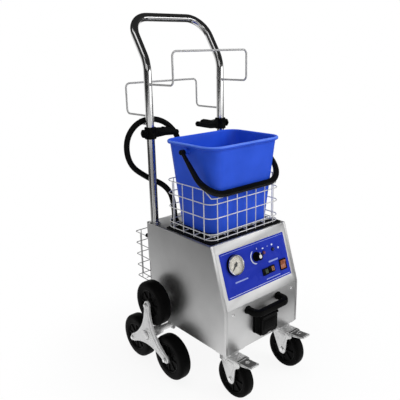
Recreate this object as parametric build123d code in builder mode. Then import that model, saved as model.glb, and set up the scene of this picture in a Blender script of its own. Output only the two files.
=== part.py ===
from build123d import *
import os
from math import atan2, cos, degrees, hypot, radians, sin, tan

# Trolley steam cleaner: a sheet-metal boiler cart on two braked casters and two star wheels, with a
# push handle, a bucket in a wire basket and a steam hose. Millimetres, Z up, X to the cart's right
# seen from its control panel, Y to the rear. Origin on the floor under the middle of the cart.

# Casing of bent sheet
body_width = 320.0
body_depth = 366.0
body_bottom = 147.0
fold_height = 286.0
deck_height = 471.0
slope_setback = 58.0
rear_step_in = 14.0
rear_step_rise = 14.0
rear_step_drop = 124.0
sheet = 1.5
panel_fit = 0.1
tray_wall = 2.0
tray_height = 24.0
screw_head_radius = 5.0
screw_head_height = 3.0
screw_shank_radius = 2.0
screw_shank_length = 6.0
front_screw_x = 128.0
front_screw_drop = 15.0
rear_screw_x = 110.0
rear_screw_rise = 43.0
rear_screw_drop = 31.0

# Push handle
tube_radius = 12.5
tube_wall = 1.5
pole_inset = 14.5
pole_setback = 26.0
pole_depth = 110.0
handle_top_height = 1100.0
handle_bend_drop = 134.0
handle_lean = 87.0
handle_bend_radius = 90.0
handle_corner_radius = 68.0
socket_floor = 10.0
socket_wall = 9.5
socket_grip = 8.0

# Wire racks and the hose hook on the poles
rack_wire = 6.0
rack_reach = 122.0
rack_rise = 93.0
rack_corner = 14.0
hook_height = 784.8
hook_reach = 40.0
hook_tip = 14.0
hook_corner = 8.0
front_rack_drop = 61.0
rear_rack_drop = 155.0

# Tool clips on the poles
clip_height = 760.0
clip_collar_radius = 18.0
clip_collar_height = 36.0
clip_arm_reach = 105.0
clip_arm_thickness = 15.0
clip_arm_root = 15.0
clip_arm_tip = 8.0
clip_arm_drop = 8.0
clip_stud_radius = 3.0
clip_stud_gap = 1.8
clip_knob_radius = 12.0
clip_knob_lobe = 3.5
clip_knob_lobe_count = 6
clip_knob_thickness = 9.0
clip_knob_gap = 2.0

# Casters
caster_x = 116.0
caster_setback = 26.0
caster_trail = 24.0
caster_wheel_diameter = 125.0
caster_wheel_width = 36.0
caster_core_radius = 46.0
caster_plate_size = (80.0, 50.0)
caster_plate_thickness = 3.5
caster_bolt_spacing = (62.0, 34.0)
caster_bolt_radius = 6.0
caster_bolt_height = 4.5
caster_race_radius = 26.0
caster_race_height = 5.2
king_pin_radius = 6.0
king_nut_radius = 9.0
king_nut_height = 3.4
fork_gap = 2.0
fork_plate = 3.0
fork_crown = 4.0
fork_crown_front = 36.0
fork_crown_rear = 21.0
fork_wing_reach = 60.0
fork_wing_drop = 17.0
fork_foot_radius = 14.0
caster_axle_radius = 5.0
axle_head_radius = 8.0
axle_head_height = 3.0
pedal_reach = 106.0
pedal_pivot_reach = 52.0
pedal_pivot_drop = 7.0
pedal_pin_radius = 2.5
pedal_knuckle_radius = 5.0
pedal_thickness = 4.0
pedal_slope = 6.0
pedal_lip = 3.0

# Star wheels
star_x = 202.0
star_setback = 288.0
star_radius = 103.0
star_wheel_diameter = 146.0
star_wheel_width = 40.0
star_core_radius = 45.0
star_stub_radius = 8.0
star_cap_radius = 13.0
star_cap_thickness = 3.0
star_washer = 3.0
spider_plate = 8.0
spider_tip_radius = 11.0
spider_waist = 27.0
spider_hub_radius = 17.0
spider_sleeve = 34.0
spider_boss_radius = 20.0
spider_boss = 6.0
axle_radius = 10.0
axle_collar_radius = 16.0
axle_collar_length = 12.0
axle_cap_radius = 14.0
axle_cap_thickness = 4.0
bracket_x = 122.0
bracket_width = 28.0
bracket_depth = 52.0
bracket_below_axle = 16.0

# Control panel, measured along the slope from the fold
overlay_width = 274.0
overlay_height = 135.0
overlay_middle = 98.0
overlay_thickness = 0.8
gauge_place = (-87.0, 122.0)
gauge_radius = 30.0
gauge_height = 12.0
gauge_recess_radius = 26.0
gauge_seat_radius = 27.5
gauge_body_radius = 24.0
gauge_body_depth = 24.0
gauge_floor = 4.0
dial_thickness = 1.0
lens_thickness = 2.0
needle_length = 20.0
needle_tail = 6.0
needle_width = 2.2
needle_thickness = 0.8
needle_hub_radius = 3.0
needle_hub_height = 2.5
needle_pin_radius = 1.0
needle_start = 225.0
knob_place = (3.0, 122.0)
knob_skirt_radius = 14.5
knob_skirt_height = 4.0
knob_radius = 11.5
knob_height = 20.0
knob_shaft_radius = 3.0
knob_shaft_depth = 20.0
knob_marker = 1.4
lamp_places = ((37.0, 125.0), (77.5, 125.5))
lamp_flange_radius = 6.0
lamp_flange_height = 2.0
lamp_dome_radius = 4.5
lamp_body_radius = 4.0
lamp_body_depth = 12.0
small_rocker_size = (20.0, 15.0)
large_rocker_size = (28.0, 24.0)
steam_rocker_place = (28.5, 68.0)
pump_rocker_place = (56.5, 69.0)
mains_rocker_place = (108.0, 69.0)
bezel_margin = 3.0
bezel_height = 2.5
switch_wall = 2.0
switch_depth = 18.0
rocker_pocket = 10.0
rocker_end_gap = 0.9
rocker_side_gap = 0.4
rocker_tilt = 9.0
rocker_pivot_depth = 2.0
rocker_foot = 4.0
rocker_crest = 5.4
rocker_valley = 3.2
rocker_pin_radius = 1.2
rocker_pin_reach = 1.2

# Front socket, flap and handle
steam_socket_x = -8.0
steam_socket_width = 72.0
steam_socket_height = 63.0
socket_handle_gap = 15.0
steam_socket_depth = 28.0
steam_bore_radius = 11.0
steam_bore_length = 27.0
steam_bore_rise = 28.0
socket_tail_radius = 18.0
socket_tail_length = 22.0
flap_thickness = 4.7
flap_margin = 2.0
flap_top_drop = 6.5
hinge_pin_radius = 2.0
hinge_knuckle_radius = 4.5
hinge_ear_radius = 5.0
hinge_ear_width = 8.0
hinge_pin_reach = 4.5
hinge_pin_drop = 1.0
front_handle_x = -3.0
front_handle_span = 132.0
front_handle_drop = 19.0
front_handle_reach = 40.0
front_handle_radius = 9.0
front_handle_bend = 20.0
front_handle_foot_radius = 13.0
front_handle_foot = 4.0

# Deck: mat, basket and bucket
mat_thickness = 3.0
mat_half_width = 152.0
mat_front = 64.0
mat_rear = 276.0
mat_corner = 10.0
wire = 3.0
wire_weld = 0.4
basket_half_width = 146.0
basket_front = 70.0
basket_rear = 273.0
basket_corner = 25.0
basket_ring_heights = (9.0, 26.0, 73.0, 115.0)
basket_front_rim = 131.0
basket_rim = 155.0
basket_rim_bend = 6.0
basket_front_wire_count = 7
basket_front_pitch = 39.0
basket_side_wire_count = 4
basket_side_pitch = 47.0
basket_floor_row_count = 4
basket_floor_column_count = 7
bucket_height = 263.0
bucket_wall = 2.5
bucket_floor = 3.0
bucket_bottom_half = (118.0, 82.0)
bucket_bottom_corner = 34.0
bucket_top_half = (140.0, 107.0)
bucket_top_corner = 40.0
bucket_rim_lip = 8.0
bucket_rim_height = 9.0
bail_pivot_drop = 23.0
bail_rim_clearance = 3.0
bail_radius = 7.5
bail_eye_radius = 11.0
bail_eye_width = 16.0
bail_pin_radius = 5.0
bail_ear_radius = 9.0
bail_ear_gap = 0.6
bail_corner = 70.0
bail_seat_lead = 2.5

# Rear accessory basket
rear_basket_half_width = 147.0
rear_basket_depth = 91.0
rear_basket_bottom = 250.0
rear_basket_height = 162.0
rear_basket_ring_count = 5
rear_basket_corner = 8.0
rear_basket_wire_count = 6
rear_basket_pitch = 50.0

# Hose, connector and glands
hose_radius = 9.0
hose_gland_x = -99.0
hose_gland_setback = 295.0
hose_gland_radius = 15.0
hose_gland_top_radius = 12.0
hose_gland_nut = 7.0
hose_gland_height = 15.0
connector_collar_radius = 13.0
connector_collar_length = 26.0
connector_barrel_radius = 10.5
connector_barrel_length = 44.0
mains_gland_x = 85.0
mains_gland_height = 205.0
mains_gland_radius = 12.0
mains_gland_length = 20.0

# Inside the casing
boiler_radius = 80.0
boiler_length = 210.0
boiler_setback = 178.0
boiler_height = 262.0
boiler_wall = 2.5
boiler_edge = 18.0
saddle_thickness = 12.0
saddle_width = 100.0
saddle_spacing = 130.0
element_flange_radius = 32.0
element_flange = 8.0
element_cap_radius = 20.0
element_cap = 22.0
tank_width = 206.0
tank_depth = 74.0
tank_headroom = 37.0
tank_setback = 270.0
tank_wall = 3.0
pump_size = (62.0, 44.0, 52.0)
pump_x = 96.0
pump_setback = 50.0
valve_radius = 14.0
valve_height = 34.0
coil_size = (34.0, 40.0, 30.0)
pipe_radius = 4.0
pipe_bend = 22.0
board_width = 150.0
board_height = 100.0
board_x = 58.0
board_middle = 100.0
board_thickness = 1.6
board_standoff = 28.0
board_post_radius = 3.0
board_post_inset = 6.0
dial_pot_radius = 9.0

# Clearances
running_fit = 0.05
gap = 0.3
hole_fit = 0.2

# Places worked out from the sizes above
front_reach = pedal_reach - caster_setback
rear_reach = body_depth - pole_setback + rack_reach + rack_wire / 2
front_y = (front_reach - rear_reach) / 2
rear_y = front_y + body_depth
lower_rear_y = rear_y - rear_step_in
half_width = body_width / 2
inner_half = half_width - sheet - panel_fit
pole_x = half_width - pole_inset
pole_y = rear_y - pole_setback
pole_foot = deck_height - pole_depth
slope_rise = deck_height - fold_height
rear_step_height = deck_height - rear_step_drop
front_screw_height = fold_height - front_screw_drop
rear_screw_heights = (body_bottom + rear_screw_rise, deck_height - rear_screw_drop)
handle_bend_height = handle_top_height - handle_bend_drop
front_rack_height = handle_bend_height - front_rack_drop
rear_rack_height = handle_bend_height - rear_rack_drop
front_handle_height = fold_height - front_handle_drop
steam_socket_top = front_handle_height - front_handle_radius - socket_handle_gap
steam_socket_bottom = steam_socket_top - steam_socket_height
steam_bore_height = steam_socket_bottom + steam_bore_rise
panel_plane = Plane(origin=(0, front_y, fold_height), x_dir=(1, 0, 0), z_dir=(0, -slope_rise, slope_setback))
mat_top = deck_height + mat_thickness
tank_height = deck_height - (body_bottom + tray_wall) - tank_headroom
basket_middle_y = front_y + (basket_front + basket_rear) / 2
floor_wire_height = deck_height + basket_ring_heights[0]
bucket_base = floor_wire_height + 1.5 * wire - wire_weld + gap
bucket_top = bucket_base + bucket_height
caster_y = front_y + caster_setback
caster_axle_y = caster_y - caster_trail
caster_axle_height = caster_wheel_diameter / 2
star_y = front_y + star_setback
star_height = star_wheel_diameter / 2 + star_radius * sin(radians(30))
sides = (("left", -1), ("right", 1))
upward = (Align.CENTER, Align.CENTER, Align.MIN)
downward = (Align.CENTER, Align.CENTER, Align.MAX)

os.makedirs("parts", exist_ok=True)


def bar(radius, start, direction, length, mode=Mode.ADD):
    """Round bar from a start point along a direction."""
    with Locations(Plane(origin=start, z_dir=direction)):
        Cylinder(radius, length, align=(Align.CENTER, Align.CENTER, Align.MIN), mode=mode)


def block(x, y, z, mode=Mode.ADD):
    """Rectangular block between two limits on each axis."""
    with Locations(((x[0] + x[1]) / 2, (y[0] + y[1]) / 2, (z[0] + z[1]) / 2)):
        Box(x[1] - x[0], y[1] - y[0], z[1] - z[0], mode=mode)


def side_profile(points, x_from, x_to, mode=Mode.ADD):
    """Slab with an outline in the YZ plane, between two places along X."""
    with BuildSketch(Plane.YZ.offset(x_from)) as outline:
        Polygon(*points, align=None)
    extrude(outline.sketch, amount=x_to - x_from, mode=mode)


def bent_rod(points, bend, radius, bore=0.0):
    """Round rod or tube along straight runs with rounded corners."""
    with BuildLine() as route:
        FilletPolyline(*points, radius=bend)
    with BuildSketch(Plane(origin=route.line @ 0, z_dir=route.line % 0)) as section:
        Circle(radius)
        if bore > 0:
            Circle(bore, mode=Mode.SUBTRACT)
    sweep(section.sketch, path=route.line)


def inner_line(points, thickness):
    """Points of an outline moved inwards by a thickness, with mitred corners."""
    normals = []
    for (y0, z0), (y1, z1) in zip(points, points[1:]):
        run = hypot(y1 - y0, z1 - z0)
        normals.append(((z1 - z0) / run, (y0 - y1) / run))
    moved = []
    for index, (y, z) in enumerate(points):
        before = normals[max(index - 1, 0)]
        after = normals[min(index, len(normals) - 1)]
        share = thickness / (1 + before[0] * after[0] + before[1] * after[1])
        moved.append((y + share * (before[0] + after[0]), z + share * (before[1] + after[1])))
    return moved


def on_panel(x, along, height=0.0):
    """Plane on the sloped panel, with its normal pointing out of the casing."""
    origin = panel_plane.from_local_coords((x, along, height))
    return Plane(origin=origin, x_dir=panel_plane.x_dir, z_dir=panel_plane.z_dir)


def turned(plane, angle):
    """Plane turned about its own normal."""
    across = plane.x_dir * cos(radians(angle)) + plane.y_dir * sin(radians(angle))
    return Plane(origin=plane.origin, x_dir=across, z_dir=plane.z_dir)


def panel_bar(radius, place, low, high, mode=Mode.ADD):
    """Round bar square to the sloped panel, between two heights over its surface."""
    bar(radius, on_panel(*place, low).origin, panel_plane.z_dir, high - low, mode)


def panel_block(place, size, low, high, mode=Mode.ADD):
    """Block square to the sloped panel, between two heights over its surface."""
    with Locations(on_panel(*place, low)):
        Box(*size, high - low, align=(Align.CENTER, Align.CENTER, Align.MIN), mode=mode)


# Casing: one outline gives the side panels and the four sheets between them
casing_line = [
    (front_y, body_bottom),
    (front_y, fold_height),
    (front_y + slope_setback, deck_height),
    (rear_y, deck_height),
    (rear_y, rear_step_height),
    (lower_rear_y, rear_step_height - rear_step_rise),
    (lower_rear_y, body_bottom),
]
lining = inner_line(casing_line, sheet)
front_strip = casing_line[0:2] + lining[1::-1]
slope_strip = casing_line[1:3] + lining[2:0:-1]
deck_strip = casing_line[2:4] + lining[3:1:-1]
rear_strip = casing_line[3:7] + lining[6:2:-1]

for side, sign in sides:
    with BuildPart() as side_panel:
        side_profile(casing_line, sign * half_width, sign * (half_width - sheet))
    side_panel.part.label = f"{side}_side_panel"
    export_step(side_panel.part, f"parts/{side}_side_panel.step")

with BuildPart() as base_tray:
    tray_y = (front_y + sheet + panel_fit, lower_rear_y - sheet - panel_fit)
    tray_z = (body_bottom, body_bottom + tray_height)
    block((-inner_half, inner_half), tray_y, tray_z)
    block(
        (tray_wall - inner_half, inner_half - tray_wall),
        (tray_y[0] + tray_wall, tray_y[1] - tray_wall),
        (body_bottom + tray_wall, tray_z[1] + tray_wall),
        mode=Mode.SUBTRACT,
    )
base_tray.part.label = "base_tray"
export_step(base_tray.part, "parts/base_tray.step")

tray_floor = body_bottom + tray_wall
tail_centre = (steam_socket_x, front_y, steam_bore_height)
front_screws = [(sign * front_screw_x, front_y, front_screw_height) for _, sign in sides]
rear_screws = []
for _, sign in sides:
    rear_screws.append((sign * rear_screw_x, lower_rear_y, rear_screw_heights[0]))
    rear_screws.append((sign * rear_screw_x, rear_y, rear_screw_heights[1]))

with BuildPart() as front_panel:
    side_profile(front_strip, -inner_half, inner_half)
    bar(socket_tail_radius + hole_fit, tail_centre, (0, 1, 0), sheet, Mode.SUBTRACT)
    for place in front_screws:
        bar(screw_shank_radius + running_fit, place, (0, 1, 0), sheet, Mode.SUBTRACT)
front_panel.part.label = "front_panel"
export_step(front_panel.part, "parts/front_panel.step")

with BuildPart() as rear_panel:
    side_profile(rear_strip, -inner_half, inner_half)
    for place in rear_screws:
        bar(screw_shank_radius + running_fit, place, (0, -1, 0), sheet, Mode.SUBTRACT)
rear_panel.part.label = "rear_panel"
export_step(rear_panel.part, "parts/rear_panel.step")

with BuildPart() as deck_panel:
    side_profile(deck_strip, -inner_half, inner_half)
    for _, sign in sides:
        hole_radius = tube_radius + gap
        bar(hole_radius, (sign * pole_x, pole_y, deck_height - sheet), (0, 0, 1), sheet, Mode.SUBTRACT)
        block(
            sorted((sign * pole_x, sign * half_width)),
            (pole_y - hole_radius, pole_y + hole_radius),
            (deck_height - sheet, deck_height),
            mode=Mode.SUBTRACT,
        )
deck_panel.part.label = "deck_panel"
export_step(deck_panel.part, "parts/deck_panel.step")

with BuildPart() as casing_screws:
    for places, inward in ((front_screws, (0, 1, 0)), (rear_screws, (0, -1, 0))):
        for place in places:
            bar(screw_shank_radius, place, inward, screw_shank_length)
            outer = (place[0], place[1] - inward[1] * screw_head_height, place[2])
            with Locations(Plane(origin=outer, z_dir=inward)):
                Cone(
                    screw_head_radius * 0.6,
                    screw_head_radius,
                    screw_head_height,
                    align=(Align.CENTER, Align.CENTER, Align.MIN),
                )
casing_screws.part.label = "casing_screws"
export_step(casing_screws.part, "parts/casing_screws.step")

# Control panel and what passes through it
small_body = tuple(size + 2 * switch_wall for size in small_rocker_size)
large_body = (large_rocker_size[1] + 2 * switch_wall, large_rocker_size[0] + 2 * switch_wall)
switch_bodies = (
    (steam_rocker_place, small_body),
    (pump_rocker_place, small_body),
    (mains_rocker_place, large_body),
)


def cut_panel_holes(low, high):
    """Holes for the gauge, the knob, the lamps and the switches."""
    panel_bar(gauge_body_radius + hole_fit, gauge_place, low, high, Mode.SUBTRACT)
    panel_bar(knob_shaft_radius + running_fit, knob_place, low, high, Mode.SUBTRACT)
    for place in lamp_places:
        panel_bar(lamp_body_radius + hole_fit, place, low, high, Mode.SUBTRACT)
    for place, size in switch_bodies:
        panel_block(place, (size[0] + hole_fit, size[1] + hole_fit), low, high, Mode.SUBTRACT)


with BuildPart() as control_panel:
    side_profile(slope_strip, -inner_half, inner_half)
    cut_panel_holes(-sheet, 0)
control_panel.part.label = "control_panel"
export_step(control_panel.part, "parts/control_panel.step")

with BuildPart() as control_overlay:
    panel_block((0, overlay_middle), (overlay_width, overlay_height), 0, overlay_thickness)
    cut_panel_holes(0, overlay_thickness)
control_overlay.part.label = "control_overlay"
export_step(control_overlay.part, "parts/control_overlay.step")

# Pressure gauge
case_floor = overlay_thickness + gauge_floor
case_top = overlay_thickness + gauge_height
lens_low = case_top - lens_thickness
dial_top = case_floor + dial_thickness

with BuildPart() as gauge_case:
    panel_bar(gauge_radius, gauge_place, overlay_thickness, case_top)
    fillet(gauge_case.edges().group_by(SortBy.LENGTH)[-1].sort_by(Axis.Y)[0:1], 1.5)
    panel_bar(gauge_body_radius, gauge_place, -gauge_body_depth, overlay_thickness)
    panel_bar(gauge_recess_radius, gauge_place, case_floor, lens_low, Mode.SUBTRACT)
    panel_bar(gauge_seat_radius, gauge_place, lens_low, case_top, Mode.SUBTRACT)
gauge_case.part.label = "gauge_case"
export_step(gauge_case.part, "parts/gauge_case.step")

with BuildPart() as gauge_dial:
    panel_bar(gauge_recess_radius - running_fit, gauge_place, case_floor, dial_top)
    panel_bar(needle_pin_radius + running_fit, gauge_place, case_floor, dial_top, Mode.SUBTRACT)
gauge_dial.part.label = "gauge_dial"
export_step(gauge_dial.part, "parts/gauge_dial.step")

with BuildPart() as gauge_lens:
    panel_bar(gauge_seat_radius - running_fit, gauge_place, lens_low, case_top - gap)
gauge_lens.part.label = "gauge_lens"
export_step(gauge_lens.part, "parts/gauge_lens.step")

with BuildPart() as gauge_needle:
    panel_bar(needle_pin_radius, gauge_place, case_floor + gap, dial_top + gap)
    panel_bar(needle_hub_radius, gauge_place, dial_top + gap, dial_top + gap + needle_hub_height)
    pointer_plane = on_panel(*gauge_place, dial_top + 2 * gap)
    with BuildSketch(turned(pointer_plane, needle_start)):
        Polygon(
            (-needle_tail, -needle_width / 2),
            (needle_length, -needle_width / 6),
            (needle_length, needle_width / 6),
            (-needle_tail, needle_width / 2),
            align=None,
        )
    extrude(amount=needle_thickness)
gauge_needle.part.label = "gauge_needle"
export_step(gauge_needle.part, "parts/gauge_needle.step")

# Steam knob, lamps and switches
knob_low = overlay_thickness + gap
with BuildPart() as steam_knob:
    panel_bar(knob_skirt_radius, knob_place, knob_low, knob_low + knob_skirt_height)
    panel_bar(knob_radius, knob_place, knob_low, knob_low + knob_height)
    panel_bar(knob_shaft_radius, knob_place, -knob_shaft_depth, knob_low)
    marker_middle = (knob_radius + knob_skirt_radius) / 2 - knob_marker
    marker_size = (knob_marker, knob_skirt_radius - knob_radius)
    marker_low = knob_low + knob_skirt_height / 2
    marker_place = (knob_place[0], knob_place[1] + marker_middle)
    panel_block(marker_place, marker_size, marker_low, knob_low + knob_skirt_height + knob_marker)
steam_knob.part.label = "steam_knob"
export_step(steam_knob.part, "parts/steam_knob.step")

with BuildPart() as indicator_lamps:
    for place in lamp_places:
        flange_top = overlay_thickness + lamp_flange_height
        panel_bar(lamp_body_radius, place, -lamp_body_depth, overlay_thickness)
        panel_bar(lamp_flange_radius, place, overlay_thickness, flange_top)
        with Locations(on_panel(*place, flange_top)):
            Sphere(lamp_dome_radius, arc_size1=0, align=upward)
indicator_lamps.part.label = "indicator_lamps"
export_step(indicator_lamps.part, "parts/indicator_lamps.step")


def rocker_frame(place, upright):
    """Plane on the overlay at a rocker, with its X along the rocker's length."""
    frame = on_panel(*place, overlay_thickness)
    return turned(frame, 90) if upright else frame


switches = (
    ("steam_rocker", steam_rocker_place, small_rocker_size, False),
    ("pump_rocker", pump_rocker_place, small_rocker_size, False),
    ("mains_rocker", mains_rocker_place, large_rocker_size, True),
)

with BuildPart() as switch_bezels:
    for _, place, (length, width), upright in switches:
        frame = rocker_frame(place, upright)
        with Locations(frame):
            Box(length + 2 * bezel_margin, width + 2 * bezel_margin, bezel_height, align=upward)
            Box(length + 2 * switch_wall, width + 2 * switch_wall, switch_depth, align=downward)
        with Locations(frame.offset(bezel_height)):
            Box(length, width, bezel_height + rocker_pocket, align=downward, mode=Mode.SUBTRACT)
        pin_reach = width / 2 + rocker_pin_reach + hole_fit
        pin_start = frame.from_local_coords((0, -pin_reach, -rocker_pivot_depth))
        bar(rocker_pin_radius + running_fit, pin_start, frame.y_dir, 2 * pin_reach, Mode.SUBTRACT)
switch_bezels.part.label = "switch_bezels"
export_step(switch_bezels.part, "parts/switch_bezels.step")

for name, place, (length, width), upright in switches:
    with BuildPart() as rocker:
        frame = rocker_frame(place, upright)
        pivot = frame.from_local_coords((0, 0, -rocker_pivot_depth))
        half_length = length / 2 - rocker_end_gap
        body_width_of_rocker = width - 2 * rocker_side_gap
        profile = turned(Plane(origin=pivot, x_dir=frame.x_dir, z_dir=-frame.y_dir), rocker_tilt)
        with BuildSketch(profile.offset(-body_width_of_rocker / 2)):
            Polygon(
                (-half_length, -rocker_foot),
                (half_length, -rocker_foot),
                (half_length, rocker_crest),
                (0, rocker_valley),
                (-half_length, rocker_crest),
                align=None,
            )
        extrude(amount=body_width_of_rocker)
        pin_reach = width / 2 + rocker_pin_reach
        bar(rocker_pin_radius, pivot - frame.y_dir * pin_reach, frame.y_dir, 2 * pin_reach)
    rocker.part.label = name
    export_step(rocker.part, f"parts/{name}.step")

# Front steam socket with its hinged flap
socket_face = front_y - steam_socket_depth
socket_left = steam_socket_x - steam_socket_width / 2
socket_right = steam_socket_x + steam_socket_width / 2
pin_y = socket_face - hinge_pin_reach
pin_z = steam_socket_top - hinge_pin_drop
ear_spans = (
    (socket_left + flap_margin, socket_left + flap_margin + hinge_ear_width),
    (socket_right - flap_margin - hinge_ear_width, socket_right - flap_margin),
)

with BuildPart() as steam_socket:
    block((socket_left, socket_right), (socket_face, front_y), (steam_socket_bottom, steam_socket_top))
    fillet(steam_socket.edges().filter_by(Axis.Y), 5)
    bar(socket_tail_radius, tail_centre, (0, 1, 0), socket_tail_length)
    for ear in ear_spans:
        bar(hinge_ear_radius, (ear[0], pin_y, pin_z), (1, 0, 0), hinge_ear_width)
        block(ear, (pin_y, socket_face), (pin_z - hinge_ear_radius, pin_z + hinge_ear_radius))
        block(
            ear,
            (socket_face, socket_face + hinge_ear_radius),
            (pin_z - hinge_ear_radius, pin_z + hinge_ear_radius),
        )
    bar(hinge_pin_radius, (ear_spans[0][0], pin_y, pin_z), (1, 0, 0), ear_spans[1][1] - ear_spans[0][0])
    bore_mouth = (steam_socket_x, socket_face, steam_bore_height)
    bar(steam_bore_radius, bore_mouth, (0, 1, 0), steam_bore_length, Mode.SUBTRACT)
steam_socket.part.label = "steam_socket"
export_step(steam_socket.part, "parts/steam_socket.step")

with BuildPart() as socket_flap:
    flap_top = pin_z - flap_top_drop
    flap_y = (socket_face - gap - flap_thickness, socket_face - gap)
    flap_z = (steam_socket_bottom + flap_margin, flap_top)
    block((socket_left + flap_margin, socket_right - flap_margin), flap_y, flap_z)
    fillet(socket_flap.edges().filter_by(Axis.Y).sort_by(Axis.Z)[:2], 6)
    knuckle = (ear_spans[0][1] + gap, ear_spans[1][0] - gap)
    block(knuckle, (pin_y - hinge_pin_radius, pin_y + hinge_pin_radius), (flap_top, pin_z))
    bar(hinge_knuckle_radius, (knuckle[0], pin_y, pin_z), (1, 0, 0), knuckle[1] - knuckle[0])
    bar(
        hinge_pin_radius + running_fit,
        (knuckle[0], pin_y, pin_z),
        (1, 0, 0),
        knuckle[1] - knuckle[0],
        Mode.SUBTRACT,
    )
socket_flap.part.label = "socket_flap"
export_step(socket_flap.part, "parts/socket_flap.step")

with BuildPart() as front_handle:
    handle_ends = (front_handle_x - front_handle_span / 2, front_handle_x + front_handle_span / 2)
    grip_y = front_y - front_handle_reach
    bent_rod(
        [
            (handle_ends[0], front_y, front_handle_height),
            (handle_ends[0], grip_y, front_handle_height),
            (handle_ends[1], grip_y, front_handle_height),
            (handle_ends[1], front_y, front_handle_height),
        ],
        front_handle_bend,
        front_handle_radius,
    )
    for end_x in handle_ends:
        bar(front_handle_foot_radius, (end_x, front_y, front_handle_height), (0, -1, 0), front_handle_foot)
front_handle.part.label = "front_handle"
export_step(front_handle.part, "parts/front_handle.step")

# Push handle, its sockets under the deck and the racks welded to it
with BuildPart() as handle_frame:
    bent_rod(
        [
            (-pole_x, pole_y, pole_foot),
            (-pole_x, pole_y, handle_bend_height),
            (-pole_x, pole_y + handle_lean, handle_top_height),
            (pole_x, pole_y + handle_lean, handle_top_height),
            (pole_x, pole_y, handle_bend_height),
            (pole_x, pole_y, pole_foot),
        ],
        [handle_bend_radius, handle_corner_radius, handle_corner_radius, handle_bend_radius],
        tube_radius,
        tube_radius - tube_wall,
    )
handle_frame.part.label = "handle_frame"
export_step(handle_frame.part, "parts/handle_frame.step")

with BuildPart() as pole_sockets:
    for _, sign in sides:
        socket_x = sorted((sign * (pole_x - tube_radius - socket_wall), sign * (pole_x + socket_grip)))
        socket_y = (pole_y - tube_radius - socket_wall, rear_y - sheet)
        block(socket_x, socket_y, (pole_foot - socket_floor, deck_height - sheet))
        pole_start = (sign * pole_x, pole_y, pole_foot)
        bar(tube_radius + running_fit, pole_start, (0, 0, 1), pole_depth, Mode.SUBTRACT)
pole_sockets.part.label = "pole_sockets"
export_step(pole_sockets.part, "parts/pole_sockets.step")

with BuildPart() as wire_racks:
    for height, direction in ((front_rack_height, -1), (rear_rack_height, 1)):
        out_y = pole_y + direction * rack_reach
        bent_rod(
            [
                (-pole_x, pole_y, height),
                (-pole_x, out_y, height),
                (-pole_x, out_y, height + rack_rise),
                (pole_x, out_y, height + rack_rise),
                (pole_x, out_y, height),
                (pole_x, pole_y, height),
            ],
            rack_corner,
            rack_wire / 2,
        )
    hook_end_y = pole_y + tube_radius + hook_reach
    bent_rod(
        [
            (-pole_x, pole_y, hook_height),
            (-pole_x, hook_end_y, hook_height),
            (-pole_x, hook_end_y, hook_height + hook_tip),
        ],
        hook_corner,
        rack_wire / 2,
    )
    pole_length = handle_bend_height - deck_height
    for _, sign in sides:
        bar(tube_radius, (sign * pole_x, pole_y, deck_height), (0, 0, 1), pole_length, Mode.SUBTRACT)
wire_racks.part.label = "wire_racks"
export_step(wire_racks.part, "parts/wire_racks.step")

# Tool clips, the right one turned upside down, with their clamp knobs
for side, sign in sides:
    clip_axis = (sign * pole_x, pole_y)
    tip_shift = sign * clip_arm_drop
    tip_x = sign * (pole_x - clip_arm_reach)
    with BuildPart() as tool_clip:
        collar_foot = (*clip_axis, clip_height - clip_collar_height / 2)
        bar(clip_collar_radius, collar_foot, (0, 0, 1), clip_collar_height)
        with BuildSketch(Plane.XZ.offset(-pole_y - clip_arm_thickness / 2)):
            Polygon(
                (sign * pole_x, clip_height - clip_arm_root),
                (sign * pole_x, clip_height + clip_arm_root),
                (tip_x, clip_height + tip_shift + clip_arm_tip),
                (tip_x, clip_height + tip_shift - clip_arm_tip),
                align=None,
            )
        extrude(amount=clip_arm_thickness)
        bar(tube_radius + running_fit, collar_foot, (0, 0, 1), clip_collar_height, Mode.SUBTRACT)
        bar(
            clip_stud_radius + running_fit,
            (*clip_axis, clip_height),
            (sign, 0, 0),
            2 * clip_collar_radius,
            Mode.SUBTRACT,
        )
    tool_clip.part.label = f"{side}_tool_clip"
    export_step(tool_clip.part, f"parts/{side}_tool_clip.step")

    with BuildPart() as clip_knob:
        stud_from = tube_radius + clip_stud_gap
        knob_from = clip_collar_radius + clip_knob_gap
        stud_start = (sign * (pole_x + stud_from), pole_y, clip_height)
        bar(clip_stud_radius, stud_start, (sign, 0, 0), knob_from - stud_from)
        knob_plane = Plane(origin=(sign * (pole_x + knob_from), pole_y, clip_height), z_dir=(sign, 0, 0))
        with BuildSketch(knob_plane):
            Circle(clip_knob_radius)
            with PolarLocations(clip_knob_radius - clip_knob_lobe / 2, clip_knob_lobe_count):
                Circle(clip_knob_lobe)
        extrude(amount=clip_knob_thickness)
    clip_knob.part.label = f"{side}_clip_knob"
    export_step(clip_knob.part, f"parts/{side}_clip_knob.step")


def wheel(x_middle, y, z, radius, width, core_radius, bore):
    """Tyre and core of one wheel turning on an axle along X."""
    crown = 0.18 * width
    shoulder = width / 2 - crown
    with BuildPart() as tyre:
        with BuildSketch(Plane((x_middle, y, z), x_dir=(1, 0, 0), z_dir=(0, -1, 0))):
            with BuildLine():
                Polyline(
                    (-shoulder, radius),
                    (-width / 2, radius - crown),
                    (-width / 2, core_radius),
                    (width / 2, core_radius),
                    (width / 2, radius - crown),
                    (shoulder, radius),
                    close=True,
                )
            make_face()
        revolve(axis=Axis((x_middle, y, z), (1, 0, 0)))
    with BuildPart() as core:
        bar(core_radius, (x_middle - width / 2 + 2 * gap, y, z), (1, 0, 0), width - 4 * gap)
        bar(bore, (x_middle - width / 2, y, z), (1, 0, 0), width, Mode.SUBTRACT)
    return [tyre.part, core.part]


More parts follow.
